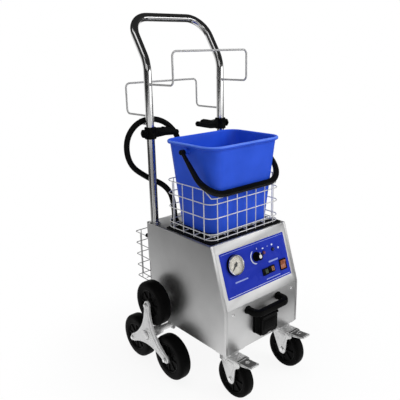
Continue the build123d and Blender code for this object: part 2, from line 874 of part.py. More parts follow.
# Casters: plates with race and king pin, then fork, wheel and brake pedal for each side
plate_low = body_bottom - caster_plate_thickness
race_low = plate_low - caster_race_height
crown_top = race_low - gap - caster_race_height
crown_low = crown_top - fork_crown
nut_top = crown_low - gap

with BuildPart() as caster_plates:
    for _, sign in sides:
        plate_x = sign * caster_x
        block(
            (plate_x - caster_plate_size[0] / 2, plate_x + caster_plate_size[0] / 2),
            (caster_y - caster_plate_size[1] / 2, caster_y + caster_plate_size[1] / 2),
            (plate_low, body_bottom),
        )
        with Locations((plate_x, caster_y, plate_low)):
            with GridLocations(*caster_bolt_spacing, 2, 2):
                Cylinder(caster_bolt_radius, caster_bolt_height, align=downward)
        bar(caster_race_radius, (plate_x, caster_y, race_low), (0, 0, 1), caster_race_height)
        bar(king_pin_radius, (plate_x, caster_y, nut_top), (0, 0, 1), race_low - nut_top)
        bar(king_nut_radius, (plate_x, caster_y, nut_top - king_nut_height), (0, 0, 1), king_nut_height)
caster_plates.part.label = "caster_plates"
export_step(caster_plates.part, "parts/caster_plates.step")

fork_inner = caster_wheel_width / 2 + fork_gap
fork_outer = fork_inner + fork_plate
pedal_pivot_y = caster_y - pedal_pivot_reach
pedal_pivot_z = crown_top - pedal_pivot_drop
leg_line = [
    (caster_y + fork_crown_rear, crown_top),
    (caster_y - fork_wing_reach, crown_top),
    (caster_y - fork_wing_reach, crown_top - fork_wing_drop),
    (caster_axle_y - 1.4 * fork_foot_radius, crown_top - 1.5 * fork_wing_drop),
    (caster_axle_y - fork_foot_radius, caster_axle_height),
    (caster_axle_y + fork_foot_radius, caster_axle_height),
]

for side, sign in sides:
    centre_x = sign * caster_x
    fork_solids = []
    with BuildPart() as fork:
        block(
            (centre_x - fork_outer, centre_x + fork_outer),
            (caster_y - fork_crown_front, caster_y + fork_crown_rear),
            (crown_low, crown_top),
        )
        bar(caster_race_radius, (centre_x, caster_y, crown_top), (0, 0, 1), caster_race_height)
        for leg in (-1, 1):
            leg_x = sorted((centre_x + leg * fork_inner, centre_x + leg * fork_outer))
            side_profile(leg_line, *leg_x)
            bar(fork_foot_radius, (leg_x[0], caster_axle_y, caster_axle_height), (1, 0, 0), fork_plate)
        through = 2 * fork_outer
        bar(
            pedal_pin_radius + running_fit,
            (centre_x - fork_outer, pedal_pivot_y, pedal_pivot_z),
            (1, 0, 0),
            through,
            Mode.SUBTRACT,
        )
        axle_start = (centre_x - fork_outer, caster_axle_y, caster_axle_height)
        bar(caster_axle_radius, axle_start, (1, 0, 0), through, Mode.SUBTRACT)
        king_hole = king_pin_radius + running_fit
        crown_hole = (centre_x, caster_y, crown_low)
        bar(king_hole, crown_hole, (0, 0, 1), fork_crown + caster_race_height, Mode.SUBTRACT)
    fork_solids.append(fork.part)
    with BuildPart() as axle_bolt:
        bar(caster_axle_radius, axle_start, (1, 0, 0), through)
        for start_x, direction in ((-fork_outer, -1), (fork_outer, 1)):
            head = (centre_x + start_x, caster_axle_y, caster_axle_height)
            bar(axle_head_radius, head, (direction, 0, 0), axle_head_height)
    fork_solids.append(axle_bolt.part)
    caster_fork = Compound(label=f"{side}_caster_fork", children=fork_solids)
    export_step(caster_fork, f"parts/{side}_caster_fork.step")

    wheel_solids = wheel(
        centre_x,
        caster_axle_y,
        caster_axle_height,
        caster_wheel_diameter / 2,
        caster_wheel_width,
        caster_core_radius,
        caster_axle_radius + running_fit,
    )
    caster_wheel = Compound(label=f"{side}_caster_wheel", children=wheel_solids)
    export_step(caster_wheel, f"parts/{side}_caster_wheel.step")

    with BuildPart() as brake_pedal:
        pedal_half = fork_inner - fork_gap / 2
        pedal_line = Plane(
            origin=(centre_x, pedal_pivot_y, pedal_pivot_z),
            x_dir=(0, -cos(radians(pedal_slope)), sin(radians(pedal_slope))),
            z_dir=(1, 0, 0),
        )
        pedal_run = (pedal_reach - pedal_pivot_reach) / cos(radians(pedal_slope))
        lift = pedal_pin_radius - pedal_thickness / 2
        with BuildSketch(pedal_line.offset(-pedal_half)):
            with BuildLine():
                Polyline(
                    (0, lift),
                    (pedal_run, lift),
                    (pedal_run, lift + pedal_thickness),
                    (0, lift + pedal_thickness),
                    close=True,
                )
            make_face()
        extrude(amount=2 * pedal_half)
        for lip_from in (-pedal_half, pedal_half - pedal_lip):
            with BuildSketch(pedal_line.offset(lip_from)):
                with BuildLine():
                    Polyline(
                        (pedal_run / 3, lift - pedal_lip),
                        (pedal_run, lift),
                        (0, lift),
                        close=True,
                    )
                make_face()
            extrude(amount=pedal_lip)
        knuckle_start = (centre_x - pedal_half, pedal_pivot_y, pedal_pivot_z)
        bar(pedal_knuckle_radius, knuckle_start, (1, 0, 0), 2 * pedal_half)
        bar(pedal_pin_radius, (centre_x - fork_outer, pedal_pivot_y, pedal_pivot_z), (1, 0, 0), through)
    brake_pedal.part.label = f"{side}_brake_pedal"
    export_step(brake_pedal.part, f"parts/{side}_brake_pedal.step")

# Star wheels: axle under the casing, a spider at each end, three wheels on each spider
spider_inner = star_x + star_wheel_width / 2 + star_washer
spider_outer = spider_inner + spider_plate
hub_inner = spider_inner - spider_sleeve
hub_outer = spider_outer + spider_boss
star_angles = (("top", 90.0), ("front", 210.0), ("rear", 330.0))

with BuildPart() as axle_brackets:
    for _, sign in sides:
        block(
            (sign * bracket_x - bracket_width / 2, sign * bracket_x + bracket_width / 2),
            (star_y - bracket_depth / 2, star_y + bracket_depth / 2),
            (star_height - bracket_below_axle, body_bottom),
        )
    bar(axle_radius + running_fit, (-half_width, star_y, star_height), (1, 0, 0), body_width, Mode.SUBTRACT)
axle_brackets.part.label = "axle_brackets"
export_step(axle_brackets.part, "parts/axle_brackets.step")

with BuildPart() as rear_axle:
    axle_end = hub_outer + gap
    bar(axle_radius, (-axle_end, star_y, star_height), (1, 0, 0), 2 * axle_end)
    for _, sign in sides:
        bar(axle_cap_radius, (sign * axle_end, star_y, star_height), (sign, 0, 0), axle_cap_thickness)
        collar_x = sign * (hub_inner - gap)
        bar(axle_collar_radius, (collar_x, star_y, star_height), (-sign, 0, 0), axle_collar_length)
rear_axle.part.label = "rear_axle"
export_step(rear_axle.part, "parts/rear_axle.step")

for side, sign in sides:
    with BuildPart() as spider:
        spider_middle = (sign * spider_inner, star_y, star_height)
        spider_plane = Plane(spider_middle, x_dir=(0, sign, 0), z_dir=(sign, 0, 0))
        with BuildSketch(spider_plane):
            with BuildLine():
                for index in range(3):
                    arm = Vector(0, 1).rotate(Axis.Z, 120 * index)
                    across = Vector(1, 0).rotate(Axis.Z, 120 * index)
                    tip = arm * star_radius
                    right_edge = tip + across * spider_tip_radius
                    left_edge = tip - across * spider_tip_radius
                    ThreePointArc(right_edge, tip + arm * spider_tip_radius, left_edge)
                    waist = arm.rotate(Axis.Z, 60) * spider_waist
                    next_arm = arm.rotate(Axis.Z, 120)
                    next_edge = next_arm * star_radius + across.rotate(Axis.Z, 120) * spider_tip_radius
                    ThreePointArc(left_edge, waist, next_edge)
            make_face()
        extrude(amount=spider_plate)
        hub_start = (sign * hub_inner, star_y, star_height)
        bar(spider_hub_radius, hub_start, (sign, 0, 0), spider_sleeve)
        bar(spider_boss_radius, (sign * spider_outer, star_y, star_height), (sign, 0, 0), spider_boss)
        stub_length = star_wheel_width + star_washer + gap
        for _, angle in star_angles:
            stub_y = star_y + star_radius * cos(radians(angle))
            stub_z = star_height + star_radius * sin(radians(angle))
            bar(star_cap_radius, (sign * spider_inner, stub_y, stub_z), (-sign, 0, 0), star_washer - gap)
            bar(star_stub_radius, (sign * spider_inner, stub_y, stub_z), (-sign, 0, 0), stub_length)
            cap_start = (sign * (spider_inner - stub_length), stub_y, stub_z)
            bar(star_cap_radius, cap_start, (-sign, 0, 0), star_cap_thickness)
        bar(axle_radius + running_fit, hub_start, (sign, 0, 0), hub_outer - hub_inner, Mode.SUBTRACT)
    spider.part.label = f"{side}_spider"
    export_step(spider.part, f"parts/{side}_spider.step")

    for place, angle in star_angles:
        star_solids = wheel(
            sign * star_x,
            star_y + star_radius * cos(radians(angle)),
            star_height + star_radius * sin(radians(angle)),
            star_wheel_diameter / 2,
            star_wheel_width,
            star_core_radius,
            star_stub_radius + running_fit,
        )
        star_wheel = Compound(label=f"{side}_{place}_star_wheel", children=star_solids)
        export_step(star_wheel, f"parts/{side}_{place}_star_wheel.step")

# Deck mat and the bucket basket
with BuildPart() as deck_mat:
    with BuildSketch(Plane.XY.offset(deck_height)):
        with Locations((0, front_y + (mat_front + mat_rear) / 2)):
            RectangleRounded(2 * mat_half_width, mat_rear - mat_front, mat_corner)
    extrude(amount=mat_thickness)
deck_mat.part.label = "deck_mat"
export_step(deck_mat.part, "parts/deck_mat.step")


def ring_run(frame, height, length, corner, corners):
    """One wire of a basket wall, with half a corner at the ends that have one."""
    with BuildLine(frame.offset(height)) as run:
        start = -length / 2
        finish = length / 2
        if corners[0]:
            start += corner
            CenterArc((start, corner), corner, 225, 45)
        if corners[1]:
            finish -= corner
        Line((start, 0), (finish, 0))
        if corners[1]:
            CenterArc((finish, corner), corner, 270, 45)
    with BuildSketch(Plane(origin=run.line @ 0, z_dir=run.line % 0)) as section:
        Circle(wire / 2)
    sweep(section.sketch, path=run.line)


def uprights(frame, places, low, high):
    """Upright wires welded to the inner side of a basket wall."""
    inset = wire - wire_weld
    for place in places:
        bar(wire / 2, frame.from_local_coords((place, inset, low)), (0, 0, 1), high - low)


def even_places(count, pitch):
    """Places along a wall at an even pitch about its middle."""
    return [(index - (count - 1) / 2) * pitch for index in range(count)]


basket_width = 2 * basket_half_width
basket_depth = basket_rear - basket_front
deck_point = (0, basket_middle_y, deck_height)
front_wall = Plane((0, front_y + basket_front, deck_height), x_dir=(1, 0, 0), z_dir=(0, 0, 1))
rear_wall = Plane((0, front_y + basket_rear, deck_height), x_dir=(-1, 0, 0), z_dir=(0, 0, 1))
left_wall = Plane((-basket_half_width, basket_middle_y, deck_height), x_dir=(0, -1, 0), z_dir=(0, 0, 1))
right_wall = Plane((basket_half_width, basket_middle_y, deck_height), x_dir=(0, 1, 0), z_dir=(0, 0, 1))
long_places = even_places(basket_front_wire_count, basket_front_pitch)
short_places = even_places(basket_side_wire_count, basket_side_pitch)
both_corners = (True, True)
basket_solids = []

with BuildPart() as basket_front_part:
    for height in basket_ring_heights:
        ring_run(front_wall, height, basket_width, basket_corner, both_corners)
    rim_low = deck_height + basket_front_rim
    rim_high = deck_height + basket_rim
    rim_y = front_y + basket_front
    bent_rod(
        [
            (-basket_half_width, rim_y + basket_corner, rim_high),
            (basket_corner - basket_half_width, rim_y, rim_low),
            (basket_half_width - basket_corner, rim_y, rim_low),
            (basket_half_width, rim_y + basket_corner, rim_high),
        ],
        basket_rim_bend,
        wire / 2,
    )
    uprights(front_wall, long_places, mat_thickness, basket_front_rim)
basket_solids.append(basket_front_part.part)

with BuildPart() as basket_rear_part:
    for height in (*basket_ring_heights, basket_rim):
        ring_run(rear_wall, height, basket_width, basket_corner, both_corners)
    uprights(rear_wall, long_places, mat_thickness, basket_rim)
basket_solids.append(basket_rear_part.part)

for wall, front_first in ((left_wall, False), (right_wall, True)):
    with BuildPart() as basket_side_part:
        for height in basket_ring_heights:
            ring_run(wall, height, basket_depth, basket_corner, both_corners)
        front_end = -1 if front_first else 1
        rim_corners = (not front_first, front_first)
        rim_middle = -front_end * basket_corner / 2
        rim_frame = Plane(wall.from_local_coords((rim_middle, 0, 0)), x_dir=wall.x_dir, z_dir=(0, 0, 1))
        ring_run(rim_frame, basket_rim, basket_depth - basket_corner, basket_corner, rim_corners)
        uprights(wall, short_places, mat_thickness, basket_rim)
    basket_solids.append(basket_side_part.part)

with BuildPart() as basket_floor_part:
    floor_half = basket_half_width - wire / 2 - running_fit
    floor_reach = basket_depth / 2 - wire / 2 - running_fit
    row_pitch = (basket_depth - 2 * basket_corner) / (basket_floor_row_count - 1)
    for row in even_places(basket_floor_row_count, row_pitch):
        bar(wire / 2, (-floor_half, basket_middle_y + row, floor_wire_height), (1, 0, 0), 2 * floor_half)
    column_pitch = (basket_width - 2 * basket_corner) / (basket_floor_column_count - 1)
    column_half = floor_reach - 2 * wire
    for column in even_places(basket_floor_column_count, column_pitch):
        column_start = (column, basket_middle_y - column_half, floor_wire_height + wire - wire_weld)
        bar(wire / 2, column_start, (0, 1, 0), 2 * column_half)
basket_solids.append(basket_floor_part.part)

wire_basket = Compound(label="wire_basket", children=basket_solids)
export_step(wire_basket, "parts/wire_basket.step")

# Bucket with rolled rim and pivot pins, and its bail lying on the basket's front rim
pivot_height = bucket_top - bail_pivot_drop
taper = (pivot_height - bucket_base) / bucket_height
wall_at_pivot = bucket_bottom_half[0] + taper * (bucket_top_half[0] - bucket_bottom_half[0])
rim_half = bucket_top_half[0] + bucket_rim_lip
bail_x = rim_half + bail_rim_clearance + bail_radius
eye_inner = bail_x - bail_eye_width / 2


def bucket_section(height, half, corner, inset):
    """Rounded rectangle of the bucket's wall at one height."""
    with BuildSketch(Plane.XY.offset(height)) as section:
        with Locations((0, basket_middle_y)):
            RectangleRounded(2 * (half[0] - inset), 2 * (half[1] - inset), corner - inset)
    return section.sketch


with BuildPart() as bucket:
    loft(
        [
            bucket_section(bucket_base, bucket_bottom_half, bucket_bottom_corner, 0),
            bucket_section(bucket_top, bucket_top_half, bucket_top_corner, 0),
        ],
        ruled=True,
    )
    rim_outline = bucket_section(
        bucket_top - bucket_rim_height, bucket_top_half, bucket_top_corner, -bucket_rim_lip
    )
    extrude(rim_outline, amount=bucket_rim_height)
    for _, sign in sides:
        ear_start = (sign * (wall_at_pivot - bucket_wall / 2), basket_middle_y, pivot_height)
        ear_length = eye_inner - bail_ear_gap - wall_at_pivot + bucket_wall / 2
        bar(bail_ear_radius, ear_start, (sign, 0, 0), ear_length)
        pin_length = bail_x + bail_eye_width / 2 + bail_ear_gap - wall_at_pivot
        bar(bail_pin_radius, (sign * wall_at_pivot, basket_middle_y, pivot_height), (sign, 0, 0), pin_length)
    loft(
        [
            bucket_section(
                bucket_base + bucket_floor, bucket_bottom_half, bucket_bottom_corner, bucket_wall
            ),
            bucket_section(bucket_top, bucket_top_half, bucket_top_corner, bucket_wall),
        ],
        ruled=True,
        mode=Mode.SUBTRACT,
    )
bucket.part.label = "bucket"
export_step(bucket.part, "parts/bucket.step")

seat_y = front_y + basket_front - bail_seat_lead
seat_z = deck_height + basket_front_rim + wire / 2 + bail_radius + gap
bail_run = Vector(0, seat_y - basket_middle_y, seat_z - pivot_height)

with BuildPart() as bucket_bail:
    left_eye = Vector(-bail_x, basket_middle_y, pivot_height)
    right_eye = Vector(bail_x, basket_middle_y, pivot_height)
    bent_rod([left_eye, left_eye + bail_run, right_eye + bail_run, right_eye], bail_corner, bail_radius)
    for _, sign in sides:
        eye_start = (sign * eye_inner, basket_middle_y, pivot_height)
        bar(bail_eye_radius, eye_start, (sign, 0, 0), bail_eye_width)
        bar(
            bail_pin_radius + running_fit,
            (sign * (bail_x - 2 * bail_radius), basket_middle_y, pivot_height),
            (sign, 0, 0),
            4 * bail_radius,
            Mode.SUBTRACT,
        )
bucket_bail.part.label = "bucket_bail"
export_step(bucket_bail.part, "parts/bucket_bail.step")

# Rear accessory basket hung on the rear panel
rack_back_y = rear_y + rear_basket_depth
ring_pitch = rear_basket_height / (rear_basket_ring_count - 1)
rear_rings = [ring_pitch * index for index in range(rear_basket_ring_count)]
basket_foot = rear_basket_bottom
back_frame = Plane((0, rack_back_y, basket_foot), x_dir=(-1, 0, 0), z_dir=(0, 0, 1))
side_middle = rear_y + rear_basket_depth / 2
rear_solids = []

with BuildPart() as back_part:
    for height in rear_rings:
        ring_run(back_frame, height, 2 * rear_basket_half_width, rear_basket_corner, both_corners)
    uprights(back_frame, even_places(rear_basket_wire_count, rear_basket_pitch), 0, rear_basket_height)
rear_solids.append(back_part.part)

for _, sign in sides:
    with BuildPart() as flank_part:
        frame = Plane(
            (sign * rear_basket_half_width, side_middle, basket_foot), x_dir=(0, sign, 0), z_dir=(0, 0, 1)
        )
        flank_corners = (sign < 0, sign > 0)
        for height in rear_rings:
            ring_run(frame, height, rear_basket_depth, rear_basket_corner, flank_corners)
        flank_shift = rear_basket_pitch / 8
        flank_places = [sign * (place - flank_shift) for place in even_places(2, rear_basket_pitch)]
        uprights(frame, flank_places, 0, rear_basket_height)
    rear_solids.append(flank_part.part)

with BuildPart() as tray_part:
    floor_front = lower_rear_y + gap
    floor_back = rack_back_y - wire / 2 - running_fit
    for column in even_places(rear_basket_wire_count, rear_basket_pitch):
        bar(wire / 2, (column, floor_front, basket_foot), (0, 1, 0), floor_back - floor_front)
    cross_half = rear_basket_half_width - 2 * wire
    cross_start = (-cross_half, side_middle, basket_foot + wire - wire_weld)
    bar(wire / 2, cross_start, (1, 0, 0), 2 * cross_half)
rear_solids.append(tray_part.part)

rear_basket = Compound(label="rear_basket", children=rear_solids)
export_step(rear_basket, "parts/rear_basket.step")

# Glands, hose and the connector on its far end
gland_y = front_y + hose_gland_setback
gland_top = deck_height + hose_gland_height
with BuildPart() as glands:
    bar(hose_gland_radius, (hose_gland_x, gland_y, deck_height), (0, 0, 1), hose_gland_nut)
    with Locations((hose_gland_x, gland_y, deck_height + hose_gland_nut)):
        Cone(
            hose_gland_radius - 1,
            hose_gland_top_radius,
            hose_gland_height - hose_gland_nut,
            align=upward,
        )
    bar(mains_gland_radius, (mains_gland_x, lower_rear_y, mains_gland_height), (0, 1, 0), mains_gland_length)
glands.part.label = "glands"
export_step(glands.part, "parts/glands.step")

# Route of the hose's centre line: up from the gland, behind the left pole, out and over, then down
# behind the bucket. Offsets in Y are from the front face.
hose_route = [
    (hose_gland_x, gland_y, gland_top),
    (hose_gland_x, gland_y, 548),
    (-104.5, front_y + 330, 590),
    (-141.5, front_y + 375.5, 613),
    (-199, front_y + 389, 661),
    (-209, front_y + 384, 744),
    (-165, front_y + 369, 799.5),
    (-84, front_y + 365, 796),
    (-20, front_y + 366, 741),
    (-14, front_y + 362, 668),
    (-12, front_y + 360, 601),
]


def bend_radii(points):
    """Largest radius that each corner's two runs leave room for."""
    radii = []
    for before, corner, after in zip(points, points[1:], points[2:]):
        run_in = Vector(*corner) - Vector(*before)
        run_out = Vector(*after) - Vector(*corner)
        half_turn = radians(run_in.get_angle(run_out)) / 2
        radii.append(0.45 * min(run_in.length, run_out.length) / tan(half_turn))
    return radii


hose_radii = bend_radii(hose_route)
with BuildPart() as steam_hose:
    bent_rod(hose_route, hose_radii, hose_radius)
steam_hose.part.label = "steam_hose"
export_step(steam_hose.part, "parts/steam_hose.step")

hose_end = Vector(*hose_route[-1])
hang = (hose_end - Vector(*hose_route[-2])).normalized()
with BuildPart() as hose_connector:
    bar(connector_collar_radius, hose_end, hang, connector_collar_length)
    barrel_start = hose_end + hang * connector_collar_length
    bar(connector_barrel_radius, barrel_start, hang, connector_barrel_length)
hose_connector.part.label = "hose_connector"
export_step(hose_connector.part, "parts/hose_connector.step")

# Inside the casing
boiler_y = front_y + boiler_setback
with BuildPart() as boiler_tank:
    bar(boiler_radius, (-boiler_length / 2, boiler_y, boiler_height), (1, 0, 0), boiler_length)
    fillet(boiler_tank.edges().filter_by(GeomType.CIRCLE), boiler_edge)
    for place in even_places(2, saddle_spacing):
        block(
            (place - saddle_thickness / 2, place + saddle_thickness / 2),
            (boiler_y - saddle_width / 2, boiler_y + saddle_width / 2),
            (tray_floor, boiler_height),
        )
    hollow = boiler_radius - boiler_wall
    hollow_length = boiler_length - 2 * boiler_edge
    bar(hollow, (-hollow_length / 2, boiler_y, boiler_height), (1, 0, 0), hollow_length, Mode.SUBTRACT)
boiler_tank.part.label = "boiler_tank"
export_step(boiler_tank.part, "parts/boiler_tank.step")

with BuildPart() as heating_element:
    element_start = (-boiler_length / 2, boiler_y, boiler_height)
    bar(element_flange_radius, element_start, (-1, 0, 0), element_flange)
    bar(element_cap_radius, element_start, (-1, 0, 0), element_flange + element_cap)
heating_element.part.label = "heating_element"
export_step(heating_element.part, "parts/heating_element.step")

with BuildPart() as water_tank:
    tank_front = front_y + tank_setback
    tank_span = (-tank_width / 2, tank_width / 2)
    block(tank_span, (tank_front, tank_front + tank_depth), (tray_floor, tray_floor + tank_height))
    block(
        (tank_wall - tank_width / 2, tank_width / 2 - tank_wall),
        (tank_front + tank_wall, tank_front + tank_depth - tank_wall),
        (tray_floor + tank_wall, tray_floor + tank_height),
        mode=Mode.SUBTRACT,
    )
water_tank.part.label = "water_tank"
export_step(water_tank.part, "parts/water_tank.step")

with BuildPart() as water_pump:
    pump_y = front_y + pump_setback
    block(
        (pump_x - pump_size[0] / 2, pump_x + pump_size[0] / 2),
        (pump_y - pump_size[1] / 2, pump_y + pump_size[1] / 2),
        (tray_floor, tray_floor + pump_size[2]),
    )
    spout = (pump_x - pump_size[0] / 2, pump_y, tray_floor + pump_size[2] / 2)
    bar(pipe_radius, spout, (-1, 0, 0), pump_size[0] / 3)
water_pump.part.label = "water_pump"
export_step(water_pump.part, "parts/water_pump.step")

with BuildPart() as steam_valve:
    valve_foot = (steam_socket_x, boiler_y, boiler_height)
    valve_top = boiler_height + boiler_radius + valve_height
    bar(valve_radius, valve_foot, (0, 0, 1), valve_top - boiler_height)
    block(
        (steam_socket_x - coil_size[0] / 2, steam_socket_x + coil_size[0] / 2),
        (boiler_y - coil_size[1] / 2, boiler_y + coil_size[1] / 2),
        (valve_top, valve_top + coil_size[2]),
    )
    pipe_start_z = valve_top - valve_height / 2
    tail_end = front_y + socket_tail_length
    bent_rod(
        [
            (steam_socket_x, boiler_y, pipe_start_z),
            (steam_socket_x, tail_end + 2 * pipe_bend, pipe_start_z),
            (steam_socket_x, tail_end + 2 * pipe_bend, steam_bore_height),
            (steam_socket_x, tail_end, steam_bore_height),
        ],
        pipe_bend,
        pipe_radius,
    )
    boiler_end = (-boiler_length / 2, boiler_y, boiler_height)
    bar(boiler_radius, boiler_end, (1, 0, 0), boiler_length, Mode.SUBTRACT)
steam_valve.part.label = "steam_valve"
export_step(steam_valve.part, "parts/steam_valve.step")

with BuildPart() as circuit_board:
    board_high = -sheet - board_standoff
    board_low = board_high - board_thickness
    panel_block((board_x, board_middle), (board_width, board_height), board_low, board_high)
    for corner_x in (-1, 1):
        for corner_s in (-1, 1):
            post = (
                board_x + corner_x * (board_width / 2 - board_post_inset),
                board_middle + corner_s * (board_height / 2 - board_post_inset),
            )
            panel_bar(board_post_radius, post, board_high, -sheet)
    panel_bar(dial_pot_radius, knob_place, board_high, -sheet)
    panel_bar(knob_shaft_radius + running_fit, knob_place, -knob_shaft_depth - gap, -sheet, Mode.SUBTRACT)
circuit_board.part.label = "circuit_board"
export_step(circuit_board.part, "parts/circuit_board.step")
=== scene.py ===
import math

import bmesh
import bpy
from mathutils import Matrix, Vector


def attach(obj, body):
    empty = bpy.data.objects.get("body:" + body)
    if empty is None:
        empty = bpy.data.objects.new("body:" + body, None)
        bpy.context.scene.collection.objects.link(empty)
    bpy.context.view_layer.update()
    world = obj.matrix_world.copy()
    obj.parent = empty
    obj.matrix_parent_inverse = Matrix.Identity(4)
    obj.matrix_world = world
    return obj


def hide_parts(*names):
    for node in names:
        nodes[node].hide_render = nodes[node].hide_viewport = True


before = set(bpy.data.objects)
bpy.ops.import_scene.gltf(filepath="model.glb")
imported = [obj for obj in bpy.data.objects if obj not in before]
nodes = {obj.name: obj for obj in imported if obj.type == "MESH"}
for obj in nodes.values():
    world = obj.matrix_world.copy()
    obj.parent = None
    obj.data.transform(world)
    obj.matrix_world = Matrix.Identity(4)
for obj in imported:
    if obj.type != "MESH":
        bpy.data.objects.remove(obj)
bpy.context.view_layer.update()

# Sizes of the cart in millimetres, in the CAD frame
MM = 0.001
FRONT = -192.5
REAR = 173.5
LOWER_REAR = 159.5
BASE = 147.0
FOLD = 286.0
DECK = 471.0
LEAN = 58.0
HALF_WIDTH = 160.0
POLE_X = 145.5
POLE_Y = 147.5
SIDES = (("left", -1), ("right", 1))
UP = (0, 0, 1)
DOWN = (0, 0, -1)
AHEAD = (0, -1, 0)
BACK = (0, 1, 0)
RIGHT = (1, 0, 0)


# Finishes


def each(value, count):
    """One value for each of a count, from a list of them or from one."""
    return value if isinstance(value, (list, tuple)) else [value] * count


def add_node(tree, kind, inputs=None, **settings):
    """Node with its settings, its even inputs set and its other inputs linked."""
    node = tree.nodes.new(kind)
    for key, value in settings.items():
        setattr(node, key, value)
    for key, value in (inputs or {}).items():
        if isinstance(value, bpy.types.NodeSocket):
            tree.links.new(value, node.inputs[key])
        else:
            node.inputs[key].default_value = value
    return node


def shader_inputs(material):
    return material.node_tree.nodes["Principled BSDF"].inputs


def finish(name, plain):
    """Material whose even values sit on the shader's own sockets."""
    material = bpy.data.materials.new(name)
    material.use_nodes = True
    for socket, value in plain.items():
        shader_inputs(material)[socket].default_value = value
    return material


def pattern(material, kind, scale, stretch=(1, 1, 1), **plain):
    """Texture on object coordinates, stretched along the axes."""
    tree = material.node_tree
    spot = add_node(tree, "ShaderNodeTexCoord").outputs["Object"]
    mapping = add_node(tree, "ShaderNodeMapping", {"Vector": spot, "Scale": stretch})
    inputs = {"Vector": mapping.outputs["Vector"], "Scale": scale, **plain}
    texture = add_node(tree, f"ShaderNodeTex{kind}", inputs)
    return texture.outputs["Distance" if kind == "Voronoi" else "Fac"]


def colour_by(material, source, dark, light, span=(0.3, 0.7)):
    """Base colour between two shades of the finish; a plain number is a grey."""
    tree = material.node_tree
    ramp = add_node(tree, "ShaderNodeValToRGB", {"Fac": source})
    for element, place, shade in zip(ramp.color_ramp.elements, span, (dark, light)):
        element.position = place
        element.color = (*each(shade, 3), 1)
    tree.links.new(ramp.outputs["Color"], shader_inputs(material)["Base Color"])


def roughness_by(material, source, smooth, rough):
    """Roughness between two values of the finish."""
    tree = material.node_tree
    limits = {"From Min": 0.3, "From Max": 0.7, "To Min": smooth, "To Max": rough}
    spread = add_node(tree, "ShaderNodeMapRange", {"Value": source, **limits})
    tree.links.new(spread.outputs["Result"], shader_inputs(material)["Roughness"])


def relief(material, source, depth, strength):
    """Fine unevenness of the surface, its depth in millimetres."""
    tree = material.node_tree
    inputs = {"Height": source, "Strength": strength, "Distance": depth * MM}
    bump = add_node(tree, "ShaderNodeBump", inputs)
    tree.links.new(bump.outputs["Normal"], shader_inputs(material)["Normal"])


def brushed_sheet(name, dark, light, smooth, rough):
    """Stainless sheet, brushed level, with faint handling marks."""
    material = finish(name, {"Metallic": 1.0})
    brush = pattern(material, "Noise", 26, (1, 1, 45), Detail=6.0, Roughness=0.6)
    marks = pattern(material, "Noise", 9, Detail=4.0)
    colour_by(material, marks, dark, light)
    roughness_by(material, brush, smooth, rough)
    relief(material, brush, 0.03, 0.5)
    return material


def plated_metal(name, dark, light, smooth, rough, metal=1.0, cells=160):
    """Plated steel with the faint cell pattern of its coat."""
    material = finish(name, {"Metallic": metal})
    coat = pattern(material, "Voronoi", cells)
    haze = pattern(material, "Noise", 60, Detail=5.0)
    colour_by(material, coat, dark, light, (0.1, 0.75))
    roughness_by(material, haze, smooth, rough)
    relief(material, haze, 0.02, 0.4)
    return material


def moulded_plastic(name, dark, light, smooth, rough, grain=0.03, plain=None):
    """Moulded plastic with a fine tool grain and slight cloudiness."""
    material = finish(name, plain or {})
    cloud = pattern(material, "Noise", 14, Detail=3.0)
    skin_grain = pattern(material, "Noise", 950, Detail=2.0)
    colour_by(material, cloud, dark, light)
    roughness_by(material, cloud, smooth, rough)
    relief(material, skin_grain, grain, 0.6)
    return material


LOW_SHEEN = {"Specular IOR Level": 0.04}
HALF_SHEEN = {"Specular IOR Level": 0.15}
CLEAR = {"Alpha": 0.04, "IOR": 1.5}

stainless = brushed_sheet("brushed_stainless", 0.60, 0.68, 0.33, 0.46)
chrome = plated_metal("chrome_tube", 0.56, 0.64, 0.09, 0.16, cells=12)
bright_wire = plated_metal("bright_wire", 0.46, 0.58, 0.18, 0.30, 0.9, 90)
basket_wire = plated_metal("basket_wire", 0.72, 0.84, 0.32, 0.44, 0.45, 90)
rack_wire = plated_metal("rack_wire", 0.44, 0.54, 0.36, 0.48, 0.35, 90)
zinc = plated_metal("zinc_plate", 0.66, 0.76, 0.24, 0.38, 0.75, 420)
screw_steel = plated_metal("screw_steel", 0.78, 0.88, 0.12, 0.24, 0.9)
gauge_chrome = plated_metal("gauge_bezel_chrome", 0.72, 0.84, 0.10, 0.20)
brass = plated_metal("turned_brass", (0.55, 0.38, 0.14), (0.70, 0.50, 0.20), 0.20, 0.34)
boiler_steel = brushed_sheet("boiler_steel", 0.45, 0.55, 0.32, 0.46)
alloy = plated_metal("cast_alloy", 0.76, 0.86, 0.34, 0.50, 0.35, 320)
bucket_blue = moulded_plastic(
    "bucket_blue_plastic", (0.017, 0.078, 0.62), (0.023, 0.096, 0.72), 0.30, 0.42, 0.02, HALF_SHEEN
)
# Lighter blue for the top of the bucket's rolled rim: a painted highlight along the lip.
bucket_rim_painted_highlight = moulded_plastic(
    "bucket_rim_painted_highlight_plastic", (0.085, 0.19, 0.76), (0.115, 0.23, 0.86), 0.30, 0.42, 0.02, HALF_SHEEN
)
overlay_blue = moulded_plastic(
    "overlay_blue_film", (0.014, 0.030, 0.36), (0.018, 0.037, 0.42), 0.24, 0.34, 0.015, LOW_SHEEN
)
black_plastic = moulded_plastic("black_moulding", 0.002, 0.004, 0.30, 0.44, plain=LOW_SHEEN)
gloss_black = moulded_plastic("gloss_black_strap", 0.003, 0.005, 0.20, 0.30, 0.01, HALF_SHEEN)
wheel_black = moulded_plastic("wheel_black_rubber", 0.0015, 0.003, 0.46, 0.62, 0.05, LOW_SHEEN)
core_black = moulded_plastic("wheel_core_plastic", 0.002, 0.004, 0.34, 0.46, plain=LOW_SHEEN)
mat_black = moulded_plastic("deck_mat_rubber", 0.004, 0.008, 0.40, 0.58, 0.06, LOW_SHEEN)
